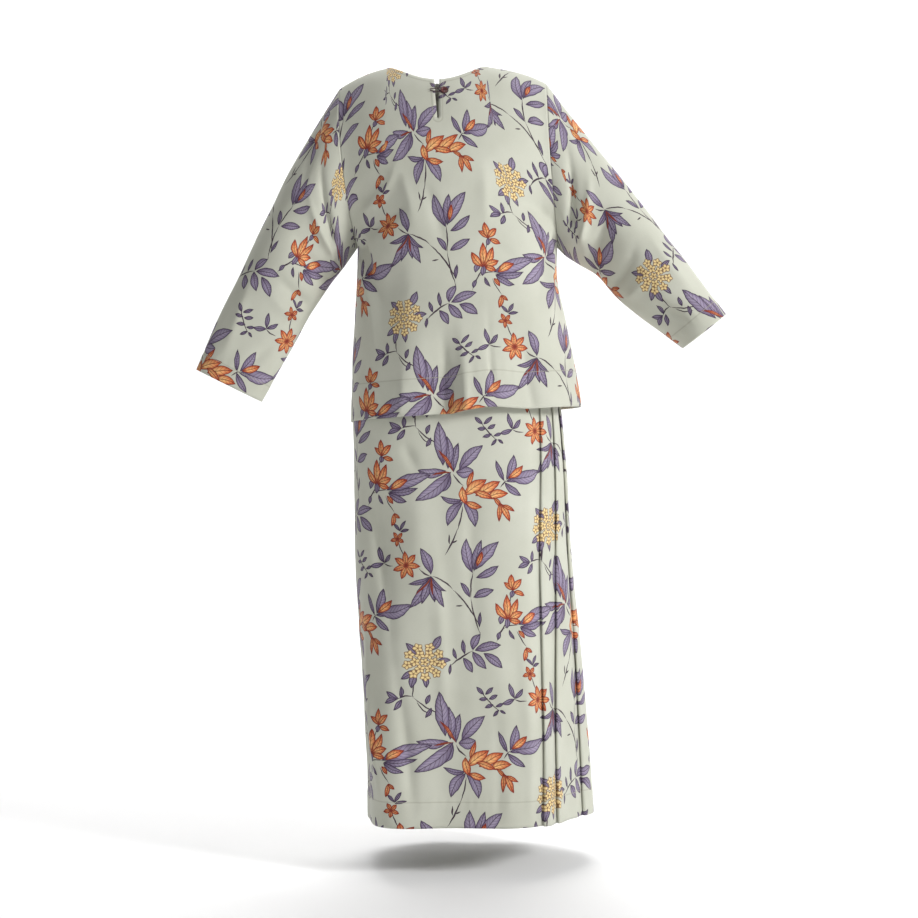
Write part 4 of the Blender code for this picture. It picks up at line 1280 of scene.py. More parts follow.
def shell_maps(cloth, origin, marks):
    """The places in the cloth, in the print and in the map for baking, for every corner of the shell."""
    places = cloth.corner_places.reshape(-1, 2)
    low = places.min(axis=0)
    high = places.max(axis=0)
    centre = (low + high) / 2.0
    chart = (cloth.print_places.reshape(-1, 2) - origin) / PRINT_UNIT
    baked = []
    for c, inside, growth in marks:
        place = centre + (places[c] - centre) * (1.0 + growth)
        baked.append(bake_place(place, low, high, inside))
    index = [c for c, inside, growth in marks]
    return {"Cloth": places[index], "OFBake": np.array(baked), "Print": chart[index]}


def drop_loose_points(mesh):
    """Remove the points that the slit leaves without a face."""
    tidy = bmesh.new()
    tidy.from_mesh(mesh)
    loose = [vertex for vertex in tidy.verts if not vertex.link_faces]
    bmesh.ops.delete(tidy, geom=loose, context="VERTS")
    tidy.to_mesh(mesh)
    tidy.free()


def build(name, cloth, origin, material):
    """A thin closed shell from a cloth's grid, with its maps and marks."""
    outer = cloth.points.reshape(-1, 3)
    inner = (cloth.points - cloth.normals * cloth.walls[..., None]).reshape(-1, 3)
    faces, marks = shell_faces(cloth)
    mesh = bpy.data.meshes.new(name)
    mesh.from_pydata(np.concatenate([outer, inner]).tolist(), [], faces)
    for map_name, values in shell_maps(cloth, origin, marks).items():
        layer = mesh.uv_layers.new(name=map_name)
        layer.data.foreach_set("uv", values.astype(np.float32).ravel())
    sides = {
        "inside": np.repeat([0.0, 1.0], len(outer)),
        "sewn_off": np.tile(cloth.sewn.off.ravel(), 2),
        "sewn_along": np.tile(cloth.sewn.along.ravel(), 2),
    }
    for side_name, values in sides.items():
        attribute = mesh.attributes.new(side_name, "FLOAT", "POINT")
        attribute.data.foreach_set("value", values.astype(np.float32))
    drop_loose_points(mesh)
    mesh.shade_smooth()
    return place_piece(name, mesh, material)


def place_piece(name, mesh, material):
    """Put a mesh in the scene, on the outfit's one body."""
    thing = bpy.data.objects.new(name, mesh)
    bpy.context.scene.collection.objects.link(thing)
    mesh.materials.clear()
    mesh.materials.append(material)
    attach(thing, "root")
    return thing


def tunic_slack(cloth):
    """How far the tunic may move inwards before it comes near the skirt, read in every second row."""
    slack = np.full(cloth.points.shape[:2], FAR_AWAY)
    for j in range(0, LOWER_ROWS, 2):
        for i in range(cloth.points.shape[1]):
            x, y, z = cloth.points[j, i]
            if -z < WAIST_DROP:
                continue
            away = x - read(SPINE, "x", -z)
            angle = math.degrees(math.atan2(y, away)) % 360.0
            gap = math.hypot(away, y) - skirt_radius(angle, -z) - SOLID_WALL - DRAPE_GAP
            slack[j:j + 2, i] = max(gap, 0.0) + TUNIC_SPARE
    return slack


def dress_tunic(cloth, node):
    """The tunic's creases, unevenness and hem."""
    fade = side_fade(cloth.places, SIDE_FADE_REACH) * top_fade(cloth.places)
    heights = np.maximum(rumples(cloth, node) * fade, -tunic_slack(cloth))
    cloth.raise_by(heights + cloth.hem(TUNIC_HEM_DEPTH))


def sew_neck(cloth, edge):
    """The turned edge of the neckline and slit."""
    distance = np.full(cloth.points.shape[:2], FAR_AWAY)
    along = np.zeros(cloth.points.shape[:2])
    distance[LOWER_ROWS:], along[LOWER_ROWS:] = edge_distances(cloth.points[LOWER_ROWS:], edge)
    cloth.sew(distance, along, NECK_EDGE_DEPTH)
    cloth.raise_by(HEM_STEP * (1.0 - smooth_all(distance, NECK_EDGE_DEPTH - HEM_STEP_REACH, NECK_EDGE_DEPTH)))


def neck_columns():
    """The first and last column whose top lies on the neckline."""
    first = SHOULDER_COLUMNS * FINE_STEPS
    return first, len(sheet_columns()) - 1 - first


def tunic_cloths():
    """The front, with its slit, and the back."""
    front_rows = tunic_grid(180.0, FRONT_NECK_DROP)
    back_rows = tunic_grid(0.0, BACK_NECK_DROP)
    narrow_slit(front_rows)
    middle = len(sheet_columns()) // 2
    front = Cloth(front_rows, middle)
    back = Cloth(back_rows, middle)
    right, left = slit_columns()
    foot = slit_foot_row()
    front.left_out = {(j, i) for j in range(foot, len(front_rows) - 1) for i in range(right, left)}
    first, last = neck_columns()
    top = len(front_rows) - 1
    front_edge = [front.points[top, i] for i in range(first, right + 1)]
    front_edge += [front.points[j, right] for j in range(top - 1, foot - 1, -1)]
    front_edge += [front.points[j, left] for j in range(foot, top + 1)]
    front_edge += [front.points[top, i] for i in range(left + 1, last + 1)]
    dress_tunic(front, "tunic_front")
    dress_tunic(back, "tunic_back")
    sew_neck(front, front_edge)
    sew_neck(back, [back.points[-1, i] for i in range(first, last + 1)])
    return front_rows, back_rows, front, back


def sleeve_cloth(front_rows, back_rows, column, rings, dents, node):
    """A sleeve, with the middle of its cloth along the front of the arm."""
    loft = sleeve_grid(rings, dents, *armhole(front_rows, back_rows, column))
    count = len(loft[0])
    middle = count // 4
    if column == 0:
        loft = [list(reversed(ring)) for ring in loft]
        middle = count - 1 - count // 4
    cloth = Cloth(loft, middle, closed=True)
    fade = top_fade(cloth.places) * side_fade(cloth.places, UNDERARM_FADE_REACH)
    cloth.raise_by(rumples(cloth, node) * fade + cloth.hem(CUFF_HEM_DEPTH))
    return cloth


def round_places(points, places, middle):
    """Places that are measured round the skirt, so that the print runs straight on over the pleats."""
    spine = np.array([[read(SPINE, "x", -row[0, 2])] for row in points])
    away = points[..., 0] - spine
    angles = np.arctan2(points[..., 1], away)
    radii = np.hypot(points[..., 1], away)
    steps = np.diff(angles, axis=1) * (radii[:, 1:] + radii[:, :-1]) / 2.0
    across = np.concatenate([np.zeros((len(points), 1)), np.cumsum(steps, axis=1)], axis=1)
    return np.stack([across - across[:, middle:middle + 1], places[..., 1]], axis=2)


def skirt_cloth(row_at, node):
    """A panel of the skirt, smooth where the tunic covers it."""
    rows = skirt_grid(row_at)
    middle_x = read(SPINE, "x", SKIRT_HEM_DROP)
    middle = min(range(len(rows[0])), key=lambda i: abs(rows[0][i].x - middle_x))
    cloth = Cloth(rows, middle)
    cloth.print_places = round_places(cloth.points, cloth.places, middle)
    shown = smooth_all(-cloth.points[..., 2], COVERED_DROP, COVERED_DROP + COVERED_REACH)
    fade = side_fade(cloth.places, SIDE_FADE_REACH) * shown
    cloth.raise_by(rumples(cloth, node) * fade + cloth.hem(SKIRT_HEM_DEPTH))
    return cloth


def waistband_cloth():
    """A casing gathered by its elastic, standing on the skirt's top edge."""
    rows = []
    for j in range(BAND_ROWS + 1):
        share = j / BAND_ROWS
        bulge = math.sin(math.pi * share)
        row = []
        for i in range(BAND_COLUMNS):
            angle = 360.0 * i / BAND_COLUMNS
            turn = math.radians(angle)
            gather = math.sin(turn * GATHERS + GATHER_DRIFT * math.sin(turn * GATHER_DRIFT_WAVES))
            proud = BAND_PROUD + bulge * (GATHER_BULGE + GATHER_HEIGHT * gather)
            point = around(angle, skirt_radius(angle, WAIST_DROP) + proud, WAIST_DROP)
            point.z = -WAIST_DROP + SEAM + BAND_HEIGHT * share
            row.append(point)
        rows.append(row)
    cloth = Cloth(rows, 0, closed=True)
    cloth.walls[:] = BAND_WALL
    return cloth


def button_frame(front):
    """The button's foot on the front, and the ways outward, across and up there."""
    row = LOWER_ROWS + int(BUTTON_NECK_SHARE * UPPER_ROWS)
    right, left = slit_columns()
    line = [Vector(point) for point in front.points[row]]
    x = (line[right].x + line[left].x) / 2.0 + BUTTON_OFFSET
    column = next(i for i in range(len(line) - 1) if line[i].x <= x <= line[i + 1].x)
    place = mix(line[column], line[column + 1], (x - line[column].x) / (line[column + 1].x - line[column].x))
    rise = Vector(front.points[row + 1, column]) - Vector(front.points[row - 1, column])
    outward_way = (line[column + 1] - line[column]).cross(rise).normalized()
    across = Vector((1.0, 0.0, 0.0))
    across = (across - outward_way * across.dot(outward_way)).normalized()
    return place, outward_way, across, outward_way.cross(across)


def plain_mesh(name, points, faces):
    """A smooth mesh without maps."""
    mesh = bpy.data.meshes.new(name)
    mesh.from_pydata(points, [], faces)
    mesh.shade_smooth()
    return mesh


def tube(path, way, radius):
    """Points and faces of a round thread along a path that lies across a way, closed at both ends."""
    points = []
    count = len(path)
    for k, place in enumerate(path):
        run = (path[min(k + 1, count - 1)] - path[max(k - 1, 0)]).normalized()
        side = run.cross(way).normalized()
        up = side.cross(run)
        for i in range(THREAD_SIDES):
            turn = 2.0 * math.pi * i / THREAD_SIDES
            points.append(place + (side * math.cos(turn) + up * math.sin(turn)) * radius)
    faces = []
    for k in range(count - 1):
        for i in range(THREAD_SIDES):
            j = (i + 1) % THREAD_SIDES
            low, high = k * THREAD_SIDES, (k + 1) * THREAD_SIDES
            faces.append((low + i, high + i, high + j, low + j))
    faces.append(tuple(range(THREAD_SIDES)))
    faces.append(tuple(reversed(range((count - 1) * THREAD_SIDES, count * THREAD_SIDES))))
    return points, faces


def join_tubes(name, tubes):
    """One mesh of several tubes."""
    points = []
    faces = []
    for tube_points, tube_faces in tubes:
        faces += [tuple(len(points) + v for v in face) for face in tube_faces]
        points += tube_points
    return plain_mesh(name, points, faces)


def button_rings():
    """Radius and height of each ring of the turned profile, from the top's middle outwards."""
    rings = []
    for (r0, h0), (r1, h1) in zip(BUTTON_PROFILE, BUTTON_PROFILE[1:]):
        for i in range(PROFILE_STEPS):
            share = i / PROFILE_STEPS
            rings.append((mix(r0, r1, share), mix(h0, h1, share)))
    return [ring for ring in rings if ring[0] > 0.0]


def hole_depth(x, y):
    """How far the button's holes sink its top at a place."""
    turns = [math.pi / 4.0 + 2.0 * math.pi * k / HOLE_COUNT for k in range(HOLE_COUNT)]
    nearest = min(math.hypot(x - HOLE_RING * math.cos(t), y - HOLE_RING * math.sin(t)) for t in turns)
    return HOLE_DEPTH * (1.0 - smooth(nearest, HOLE_RADIUS * HOLE_EDGE[0], HOLE_RADIUS * HOLE_EDGE[1]))


def turned_faces(ring_count, sides):
    """Faces of a turned shape; its points are the top's middle, ring after ring, and the foot's middle."""
    faces = []
    last = 1 + ring_count * sides
    for i in range(sides):
        j = (i + 1) % sides
        faces.append((0, 1 + i, 1 + j))
        for n in range(ring_count - 1):
            inner = 1 + n * sides
            outer = inner + sides
            faces.append((inner + i, outer + i, outer + j, inner + j))
        faces.append((last - sides + j, last - sides + i, last))
    return faces


def button_mesh(frame_ways):
    """A turned button with a raised rim, a dished middle and four holes."""
    place, way, across, up = frame_ways
    foot = place + way * SEAM
    rings = button_rings()
    points = [foot + way * BUTTON_PROFILE[0][1] * BUTTON_THICKNESS]
    for n, (radius, height) in enumerate(rings):
        for i in range(BUTTON_SIDES):
            turn = 2.0 * math.pi * i / BUTTON_SIDES
            x = radius * math.cos(turn)
            y = radius * math.sin(turn)
            sunk = hole_depth(x, y) if n < TOP_SEGMENTS * PROFILE_STEPS else 0.0
            lift = (height - sunk) * BUTTON_THICKNESS
            points.append(foot + (across * x + up * y) * BUTTON_RADIUS + way * lift)
    points.append(foot + way * BUTTON_PROFILE[-1][1] * BUTTON_THICKNESS)
    return plain_mesh("button_turned", points, turned_faces(len(rings), BUTTON_SIDES))


def button_stitches(frame_ways):
    """Two strands of thread across each pair of the button's holes."""
    place, way, across, up = frame_ways
    middle = place + way * (SEAM + BUTTON_PROFILE[0][1] * BUTTON_THICKNESS)
    hole = HOLE_RING * math.sqrt(0.5)
    tubes = []
    for side in (-1.0, 1.0):
        for strand in (-0.5, 0.5):
            path = []
            for k in range(STITCH_POINTS + 1):
                share = 2.0 * k / STITCH_POINTS - 1.0
                x = hole * share * BUTTON_RADIUS
                y = (hole * side + strand * STRAND_SPACING) * BUTTON_RADIUS
                lift = mix(STITCH_LIFT, -STITCH_DEPTH, abs(share) ** STITCH_SQUARENESS)
                path.append(middle + across * x + up * y + way * lift)
            tubes.append(tube(path, way, STITCH_RADIUS))
    return join_tubes("button_thread", tubes)


def loop_path(frame_ways):
    """The middle of the loop's cord, from one foot at the slit round the button to the other."""
    place, way, across, up = frame_ways
    radius = BUTTON_RADIUS + LOOP_CORD + SEAM
    centre = place + way * (SEAM + LOOP_CORD)
    foot = centre - across * LOOP_REACH
    course = [foot + up * LOOP_CORD * 2.0]
    for i in range(LOOP_POINTS + 1):
        turn = math.radians(mix(LOOP_HALF_TURN, -LOOP_HALF_TURN, i / LOOP_POINTS))
        course.append(centre + across * radius * math.cos(turn) + up * radius * math.sin(turn))
    course.append(foot - up * LOOP_CORD * 2.0)
    path = []
    for start, end in zip(course, course[1:]):
        steps = max(round((end - start).length / CORD_STEP), 1)
        path += [mix(start, end, i / steps) for i in range(steps)]
    path.append(course[-1])
    return path


def cord_mesh(frame_ways):
    """The loop's cord: three strands twisted round each other."""
    way = frame_ways[1]
    path = loop_path(frame_ways)
    tubes = []
    for strand in range(CORD_STRANDS):
        run = 0.0
        twisted = []
        for k, point in enumerate(path):
            before = path[max(k - 1, 0)]
            ahead = (path[min(k + 1, len(path) - 1)] - before).normalized()
            run += (point - before).length
            turn = 2.0 * math.pi * (run / CORD_LAY + strand / CORD_STRANDS)
            twisted.append(point + (ahead.cross(way) * math.cos(turn) + way * math.sin(turn)) * CORD_ORBIT)
        tubes.append(tube(twisted, way, LOOP_CORD - CORD_ORBIT))
    return join_tubes("button_cord", tubes)


def srgb(red, green, blue):
    """A colour as the shader takes it, from red, green and blue out of 255, none of them nearly black."""
    return [((value / 255.0 + 0.055) / 1.055) ** 2.4 for value in (red, green, blue)] + [1.0]


class Drawing:
    """Adds nodes to a tree; its methods return the socket that holds their result."""

    def __init__(self, tree):
        self.tree = tree

    def node(self, kind, values, **settings):
        """A new node: linked where a value is a socket, and set where it is a constant."""
        node = self.tree.nodes.new(kind)
        for name, value in settings.items():
            setattr(node, name, value)
        for key, value in values.items():
            if isinstance(value, bpy.types.NodeSocket):
                self.tree.links.new(value, node.inputs[key])
            else:
                node.inputs[key].default_value = value
        return node

    def maths(self, operation, *values):
        return self.node("ShaderNodeMath", dict(enumerate(values)), operation=operation).outputs[0]

    def vector(self, operation, *values):
        node = self.node("ShaderNodeVectorMath", dict(enumerate(values)), operation=operation)
        return node.outputs["Value" if operation in ("DOT_PRODUCT", "LENGTH") else "Vector"]

    def combine(self, x, y, z):
        return self.node("ShaderNodeCombineXYZ", {0: x, 1: y, 2: z}).outputs[0]

    def split(self, value):
        return self.node("ShaderNodeSeparateXYZ", {0: value}).outputs

    def choose(self, share, under, over):
        """The vector under it, or the one over it."""
        values = {"Factor": share, 4: under, 5: over}
        return self.node("ShaderNodeMix", values, data_type="VECTOR").outputs[1]

    def blend(self, share, under, over):
        """A mixed colour."""
        values = {"Factor": share, 6: under, 7: over}
        return self.node("ShaderNodeMix", values, data_type="RGBA").outputs[2]

    def ramp(self, value, stops):
        """A colour that passes through the stops."""
        node = self.node("ShaderNodeValToRGB", {0: value})
        elements = node.color_ramp.elements
        while len(elements) < len(stops):
            elements.new(1.0)
        for element, (position, colour) in zip(elements, stops):
            element.position = position
            element.color = srgb(*colour)
        return node.outputs["Color"]

    def noise(self, place, scale, detail=3.0):
        """Smooth random values around a half."""
        values = {"Vector": place, "Scale": scale, "Detail": detail}
        return self.node("ShaderNodeTexNoise", values).outputs["Fac"]

    def uv_map(self, name):
        """The place on one of the mesh's maps."""
        return self.node("ShaderNodeUVMap", {}, uv_map=name).outputs["UV"]

    def mark(self, name):
        """A number that the mesh holds for each point."""
        return self.node("ShaderNodeAttribute", {}, attribute_name=name).outputs["Fac"]

    def level(self, value, low, high, new_low, new_high):
        """A value moved from one span to another."""
        values = {0: value, 1: low, 2: high, 3: new_low, 4: new_high}
        return self.node("ShaderNodeMapRange", values).outputs[0]

    def lay(self, share, side, half, bend, under):
        """Lay a pointed lens over what is drawn: depth (below 0 inside), share of its length, and side."""
        hump = self.maths("SUBTRACT", share, self.maths("MULTIPLY", share, share))
        side = self.maths("MULTIPLY_ADD", hump, bend, side)
        depth = self.maths("MULTIPLY_ADD", hump, half, self.maths("ABSOLUTE", side))
        inside = self.maths("LESS_THAN", depth, 0.0)
        return self.choose(inside, under, self.combine(depth, share, side))

    def fold_round(self, place, centre, petals, turn):
        """Fold the plane round a centre into one sector: the place along it and beside it."""
        away = self.vector("SUBTRACT", place, centre)
        x, y, z = self.split(away)
        turns = self.maths("MULTIPLY_ADD", self.maths("ARCTAN2", y, x), petals, turn)
        off = self.maths("DIVIDE", self.maths("SUBTRACT", turns, self.maths("ROUND", turns)), petals)
        radius = self.vector("LENGTH", away)
        along = self.maths("MULTIPLY", radius, self.maths("COSINE", off))
        return along, self.maths("MULTIPLY", radius, self.maths("SINE", off))


def new_group(name, vectors, numbers):
    """An empty node group with an Over output, as a drawing and its inputs."""
    tree = bpy.data.node_groups.new(name, "ShaderNodeTree")
    kinds = [(socket, "NodeSocketVector") for socket in vectors]
    kinds += [(socket, "NodeSocketFloat") for socket in numbers]
    for socket, kind in kinds:
        tree.interface.new_socket(socket, in_out="INPUT", socket_type=kind)
    tree.interface.new_socket("Over", in_out="OUTPUT", socket_type="NodeSocketVector")
    return Drawing(tree), tree.nodes.new("NodeGroupInput").outputs


def close_group(draw, over):
    """Lead a result to the group's output."""
    draw.node("NodeGroupOutput", {"Over": over})
    return draw.tree


def leaf_group():
    """Node group that lays one leaf over what is drawn."""
    draw, given = new_group("leaf_shape", ("Place", "Along", "Across", "Under"), ("Half", "Bend"))
    share = draw.vector("DOT_PRODUCT", given["Place"], given["Along"])
    side = draw.vector("DOT_PRODUCT", given["Place"], given["Across"])
    return close_group(draw, draw.lay(share, side, given["Half"], given["Bend"], given["Under"]))


def rosette_group():
    """Node group that lays a ring of petals over what is drawn."""
    inputs = ("Petals", "Turn", "Reach", "Half")
    draw, given = new_group("rosette_shape", ("Place", "Centre", "Under"), inputs)
    along, side = draw.fold_round(given["Place"], given["Centre"], given["Petals"], given["Turn"])
    share = draw.maths("DIVIDE", along, given["Reach"])
    return close_group(draw, draw.lay(share, side, given["Half"], 0.0, given["Under"]))


def measure(x, y, start):
    """The vector whose product with (x, y, 1) measures along a way from a start."""
    return x, y, -(start[0] * x + start[1] * y)


class Print:
    """The floral print, drawn in layers over the cloth."""

    def __init__(self, draw):
        self.draw = draw
        self.leaf_tree = leaf_group()
        self.rosette_tree = rosette_group()

    def motif_place(self, x, y, motif):
        """The print's place, moved by whole repeats to the copy of a motif that is nearest."""
        draw = self.draw
        repeat = draw.maths("ROUND", draw.maths("DIVIDE", draw.maths("SUBTRACT", x, motif.x), REPEAT_WIDTH))
        own_x = draw.maths("MULTIPLY_ADD", repeat, -REPEAT_WIDTH, x)
        lifted = draw.maths("MULTIPLY_ADD", repeat, -REPEAT_RISE, y)
        own_y = draw.maths("WRAP", lifted, motif.y + REPEAT_RISE, motif.y - REPEAT_RISE)
        return draw.combine(own_x, own_y, 1.0)

    def leaf(self, place, under, leaf):
        """One leaf or petal, laid over what is drawn."""
        run = Vector((leaf.x1 - leaf.x0, leaf.y1 - leaf.y0))
        length = run.length
        run.normalize()
        start = (leaf.x0, leaf.y0)
        values = {
            "Place": place,
            "Along": measure(run.x / length, run.y / length, start),
            "Across": measure(-run.y, run.x, start),
            "Half": LENS * leaf.half,
            "Bend": LENS * leaf.bend,
            "Under": under,
        }
        return self.draw.node("ShaderNodeGroup", values, node_tree=self.leaf_tree).outputs["Over"]

    def rosette(self, place, under, rosette, level=1.0):
        """One ring of petals, laid over what is drawn."""
        values = {
            "Place": place,
            "Centre": (rosette.x, rosette.y, level),
            "Petals": rosette.petals / (2.0 * math.pi),
            "Turn": rosette.turn,
            "Reach": rosette.reach,
            "Half": LENS * rosette.half,
            "Under": under,
        }
        return self.draw.node("ShaderNodeGroup", values, node_tree=self.rosette_tree).outputs["Over"]

    def cluster(self, place):
        """Rings of small flowers round a small flower."""
        under = NOTHING_DRAWN
        centre = (*CLUSTER_CENTRE, 1.0)
        for ring in CLUSTER_RINGS:
            along, side = self.draw.fold_round(place, centre, ring.flowers / (2.0 * math.pi), ring.turn)
            flower = Rosette(ring.radius, 0.0, FLOWER_PETALS, ring.reach, ring.reach * FLOWER_FULLNESS, 0.0)
            under = self.rosette(self.draw.combine(along, side, 0.0), under, flower, 0.0)
        middle = Rosette(*CLUSTER_CENTRE, FLOWER_PETALS, MIDDLE_FLOWER, MIDDLE_FLOWER * FLOWER_FULLNESS, 0.0)
        return self.rosette(place, under, middle)

    def layer(self, places, name):
        """All the shapes of one layer, the later ones over the earlier."""
        under = NOTHING_DRAWN
        for motif, place in zip(MOTIFS, places):
            for shape in getattr(motif, name):
                draw_shape = self.leaf if isinstance(shape, Leaf) else self.rosette
                under = draw_shape(place, under, shape)
        return under

    def ink(self, ground, over, ink):
        """Colour one layer: a graded fill, chevron veins, a rib, and an outline."""
        draw = self.draw
        line = srgb(*ink.line)
        depth, share, side = draw.split(over)
        off_rib = draw.maths("ABSOLUTE", side)
        near_edge = draw.level(depth, -EDGE_SHADE_REACH, -ink.outline, 0.0, EDGE_SHADE)
        fill = draw.blend(near_edge, draw.ramp(share, ink.stops), srgb(*ink.edge))
        if ink.veins:
            slope = draw.maths("MULTIPLY", off_rib, VEIN_SLOPE)
            vein = draw.maths("FRACT", draw.maths("MULTIPLY_ADD", share, -ink.veins, slope))
            shade = draw.maths("MULTIPLY", draw.maths("LESS_THAN", vein, VEIN_WIDTH), VEIN_STRENGTH)
            fill = draw.blend(shade, fill, line)
            darker = draw.maths("MULTIPLY", draw.maths("GREATER_THAN", side, 0.0), HALF_SHADE)
            fill = draw.blend(darker, fill, line)
        rim = draw.maths("GREATER_THAN", depth, -ink.outline)
        rib = draw.maths("LESS_THAN", off_rib, ink.rib)
        drawn = draw.maths("MULTIPLY", draw.maths("MAXIMUM", rim, rib), LINE_STRENGTH)
        fill = draw.blend(drawn, fill, line)
        return draw.blend(draw.maths("LESS_THAN", depth, 0.0), ground, fill)

    def colour(self, ground):
        """The printed colour of the cloth."""
        draw = self.draw
        chart = draw.uv_map("Print")
        wander = draw.node("ShaderNodeTexNoise", {"Vector": chart, "Scale": WANDER_SCALE, "Detail": 1.0})
        centred = draw.vector("SUBTRACT", wander.outputs["Color"], (0.5, 0.5, 0.5))
        shift = draw.vector("MULTIPLY", centred, (WANDER, WANDER, 0.0))
        x, y, z = draw.split(draw.vector("ADD", chart, shift))
        places = [self.motif_place(x, y, motif) for motif in MOTIFS]
        colour = ground
        for name, ink in (("stems", STEM_INK), ("violet", VIOLET_INK), ("orange", ORANGE_INK)):
            colour = self.ink(colour, self.layer(places, name), ink)
        return self.ink(colour, self.cluster(places[-1]), CREAM_INK)


def principled(name):
    """A new material, as a drawing in its tree and its one shader node."""
    material = bpy.data.materials.new(name)
    material.use_nodes = True
    return material, Drawing(material.node_tree), material.node_tree.nodes["Principled BSDF"]


def weave(draw, place):
    """Height of the plain weave's threads, from a place in metres."""
    x, y, z = draw.split(place)
    warp = draw.maths("SINE", draw.maths("MULTIPLY", x, 2.0 * math.pi / WEAVE_PITCH))
    weft = draw.maths("SINE", draw.maths("MULTIPLY", y, 2.0 * math.pi / WEAVE_PITCH))
    return draw.maths("MULTIPLY", draw.maths("MULTIPLY", warp, weft), WEAVE_HEIGHT)


def finish(draw, shader, colour, roughness, bump):
    """Link what the nodes work out to the material's one shader."""
    normal = draw.node("ShaderNodeBump", bump).outputs["Normal"]
    for socket, value in (("Base Color", colour), ("Roughness", roughness), ("Normal", normal)):
        draw.tree.links.new(value, shader.inputs[socket])


def finish_cloth(draw, shader, colour, uneven, height):
    """The cloth's colour, roughness, relief and sheen."""
    roughness = draw.level(uneven, *DYE_LEVELS, *CLOTH_ROUGHNESS)
    bump = {"Strength": CLOTH_BUMP, "Distance": CLOTH_BUMP_DEPTH, "Height": height}
    finish(draw, shader, colour, roughness, bump)
    shader.inputs["Sheen Weight"].default_value = CLOTH_SHEEN
    shader.inputs["Sheen Roughness"].default_value = CLOTH_SHEEN_ROUGHNESS
    shader.inputs["Specular IOR Level"].default_value = CLOTH_SPECULAR


def stitch_dashes(draw, along):
    """1 on a stitch and 0 between two, from how far along the line it is."""
    dash = draw.maths("FRACT", draw.maths("DIVIDE", along, STITCH_LENGTH))
    return draw.maths("LESS_THAN", dash, STITCH_SHARE)


def printed_cloth():
    """Sage cotton with the floral print, its weave, its stitches with painted shade in their grooves, and a
    paler wrong side.
    """
    material, draw, shader = principled("printed_cloth")
    cloth_place = draw.uv_map("Cloth")
    uneven = draw.noise(cloth_place, DYE_SCALE)
    ground = draw.ramp(uneven, SAGE_STOPS)
    printed = Print(draw).colour(ground)

    slubs = draw.noise(draw.vector("MULTIPLY", cloth_place, SLUB_STRETCH), 1.0, SLUB_DETAIL)
    shade = draw.level(slubs, *MARK_LEVELS, 1.0 - SLUB_SHADE, 1.0)
    printed = draw.vector("MULTIPLY", printed, draw.combine(shade, shade, shade))
    wrong_side = draw.maths("MULTIPLY", draw.mark("inside"), WRONG_SIDE_FADE)
    colour = draw.blend(wrong_side, printed, ground)

    beside = draw.maths("ABSOLUTE", draw.mark("sewn_off"))
    on_line = draw.maths("LESS_THAN", beside, THREAD_HALF_WIDTH)
    thread = draw.maths("MULTIPLY", on_line, stitch_dashes(draw, draw.mark("sewn_along")))
    # The darker band along each stitch line is painted shade in its groove; the same mask also sinks the
    # groove by the bump
    groove = draw.level(beside, 0.0, GROOVE_REACH, 1.0, 0.0)
    colour = draw.blend(draw.maths("MULTIPLY", groove, GROOVE_SHADE), colour, srgb(*GROOVE_SHADOW_COLOUR))
    colour = draw.blend(thread, colour, srgb(*THREAD_COLOUR))

    height = draw.maths("MULTIPLY_ADD", slubs, SLUB_HEIGHT, weave(draw, cloth_place))
    height = draw.maths("MULTIPLY_ADD", groove, -GROOVE_HEIGHT, height)
    height = draw.maths("MULTIPLY_ADD", thread, THREAD_HEIGHT, height)
    finish_cloth(draw, shader, colour, uneven, height)
    return material


def band_cloth():
    """The plain casing over its elastic, with rows of stitches through it, coloured with painted groove shade
    and sunk.
    """
    material, draw, shader = principled("waistband_cloth")
    place = draw.uv_map("Cloth")
    uneven = draw.noise(place, DYE_SCALE)
    x, y, z = draw.split(place)
    rows = draw.maths("SINE", draw.maths("MULTIPLY", y, 2.0 * math.pi / BAND_STITCH_PITCH))
    row = draw.maths("GREATER_THAN", rows, BAND_STITCH_SHARE)
    thread = draw.maths("MULTIPLY", row, stitch_dashes(draw, x))
    # The stitch rows are painted in the groove's shadow colour, as shade in their dents, and are sunk by the
    # bump
    colour = draw.blend(thread, draw.ramp(uneven, SAGE_STOPS), srgb(*GROOVE_SHADOW_COLOUR))
    height = draw.maths("MULTIPLY_ADD", row, -GROOVE_HEIGHT, weave(draw, place))
    finish_cloth(draw, shader, colour, uneven, height)
    return material


def dark_material(name, stops, roughness, scale):
    """A dark, slightly uneven finish: the button's or the cord's."""
    material, draw, shader = principled(name)
    marks = draw.noise(draw.node("ShaderNodeTexCoord", {}).outputs["Object"], scale)
    rough = draw.level(marks, *MARK_LEVELS, *roughness)
    bump = {"Strength": DARK_BUMP, "Distance": DARK_BUMP_DEPTH, "Height": marks}
    finish(draw, shader, draw.ramp(marks, stops), rough, bump)
    return material


def pale_material():
    """The studio's matt, almost white floor."""
    material, draw, shader = principled("studio_pale")
    shader.inputs["Base Color"].default_value = (*STUDIO_PALE, 1.0)
    shader.inputs["Roughness"].default_value = STUDIO_ROUGHNESS
    return material


def studio_floor():
    """A pale floor that curves up into a wall behind the outfit."""
    profile = [(FLOOR_FRONT, FLOOR)]
    for i in range(BEND_STEPS + 1):
        turn = math.pi / 2.0 * i / BEND_STEPS
        y = WALL_AT - WALL_BEND + WALL_BEND * math.sin(turn)
        profile.append((y, FLOOR + WALL_BEND * (1.0 - math.cos(turn))))
    profile.append((WALL_AT, WALL_TOP))
    points = [(x, y, z) for y, z in profile for x in (-FLOOR_HALF_WIDTH, FLOOR_HALF_WIDTH)]
    faces = [(2 * i, 2 * i + 1, 2 * i + 3, 2 * i + 2) for i in range(len(profile) - 1)]
    floor = bpy.data.objects.new("studio_floor", plain_mesh("studio_floor", points, faces))
    bpy.context.scene.collection.objects.link(floor)
    floor.data.materials.append(pale_material())


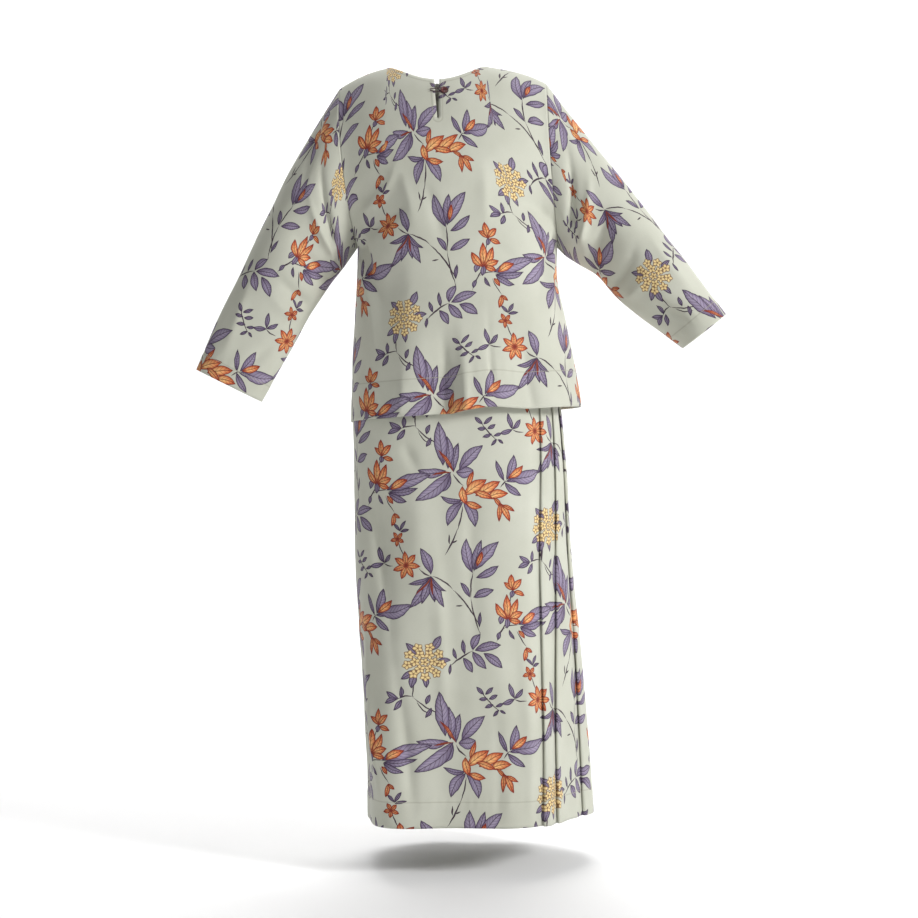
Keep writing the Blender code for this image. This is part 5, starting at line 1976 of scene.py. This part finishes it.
def studio_lamps():
    """A soft key light at the image's right, a weak fill, a light behind and one on the wall."""
    for light in LIGHTS:
        data = bpy.data.lights.new(light.name, "AREA")
        data.energy = light.watts
        data.shape = "DISK"
        data.size = light.size
        lamp = bpy.data.objects.new(light.name, data)
        lamp.location = light.place
        toward = Vector(light.target) - Vector(light.place)
        lamp.rotation_euler = toward.to_track_quat("-Z", "Y").to_euler()
        bpy.context.scene.collection.objects.link(lamp)


def studio_air():
    """The even light from all round."""
    world = bpy.data.worlds.new("studio_air")
    world.use_nodes = True
    background = world.node_tree.nodes["Background"]
    background.inputs["Color"].default_value = (1.0, 1.0, 1.0, 1.0)
    background.inputs["Strength"].default_value = AIR
    bpy.context.scene.world = world
    bpy.context.scene.view_settings.view_transform = "Standard"


def camera():
    """The photograph's viewpoint, level and straight on."""
    data = bpy.data.cameras.new("camera")
    data.sensor_width = SENSOR
    data.lens = SENSOR * CAMERA_FOCAL_PIXELS / PICTURE_SIDE
    thing = bpy.data.objects.new("camera", data)
    thing.location = CAMERA_PLACE
    thing.rotation_euler = (math.radians(90.0), 0.0, 0.0)
    bpy.context.scene.collection.objects.link(thing)
    bpy.context.scene.camera = thing


def garment_cloths():
    """Each node's cloth, how it is held and what it hangs from."""
    front_rows, back_rows, front, back = tunic_cloths()
    last = len(front_rows[0]) - 1
    right = sleeve_cloth(front_rows, back_rows, 0, RIGHT_SLEEVE, RIGHT_DENTS, "sleeve_right")
    left = sleeve_cloth(front_rows, back_rows, last, LEFT_SLEEVE, LEFT_DENTS, "sleeve_left")
    tunic = ("tunic_front_cloth", "tunic_back_cloth")
    band = ("waistband_cloth",)
    return {
        "tunic_front": (front, "hung", ()),
        "tunic_back": (back, "hung", ()),
        "sleeve_right": (right, "hung", tunic),
        "sleeve_left": (left, "hung", tunic),
        "skirt_front": (skirt_cloth(skirt_front_row, "skirt_front"), "hung", band),
        "skirt_back": (skirt_cloth(skirt_back_row, "skirt_back"), "hung", band),
        "waistband": (waistband_cloth(), "gathered", ()),
    }


def dress_cloths(cloths):
    """Replace each sheet of the frame by its shell of cloth."""
    materials = {"printed_cloth": printed_cloth(), "waistband_cloth": band_cloth()}
    for node, (cloth, held, rests_on) in cloths.items():
        slot = "waistband_cloth" if node == "waistband" else "printed_cloth"
        piece = build(f"{node}_cloth", cloth, PRINT_ORIGINS[node], materials[slot])
        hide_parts(node)
        cloth.area()


def dress_button(front):
    """Replace the button and its loop, and add the button's thread."""
    frame_ways = button_frame(front)
    plum = dark_material("plum_button", PLUM_STOPS, BUTTON_ROUGHNESS, BUTTON_MARKS)
    cord = dark_material("plum_cord", CORD_STOPS, CORD_ROUGHNESS, CORD_MARKS)
    turned = place_piece("button_turned", button_mesh(frame_ways), plum)
    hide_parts("button")
    place_piece("button_thread", button_stitches(frame_ways), cord)
    looped = place_piece("button_cord", cord_mesh(frame_ways), cord)
    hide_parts("button_loop")


def main():
    """Dress the frame, and add the studio and the camera."""
    cloths = garment_cloths()
    dress_cloths(cloths)
    dress_button(cloths["tunic_front"][0])
    studio_floor()
    studio_lamps()
    studio_air()
    camera()


main()
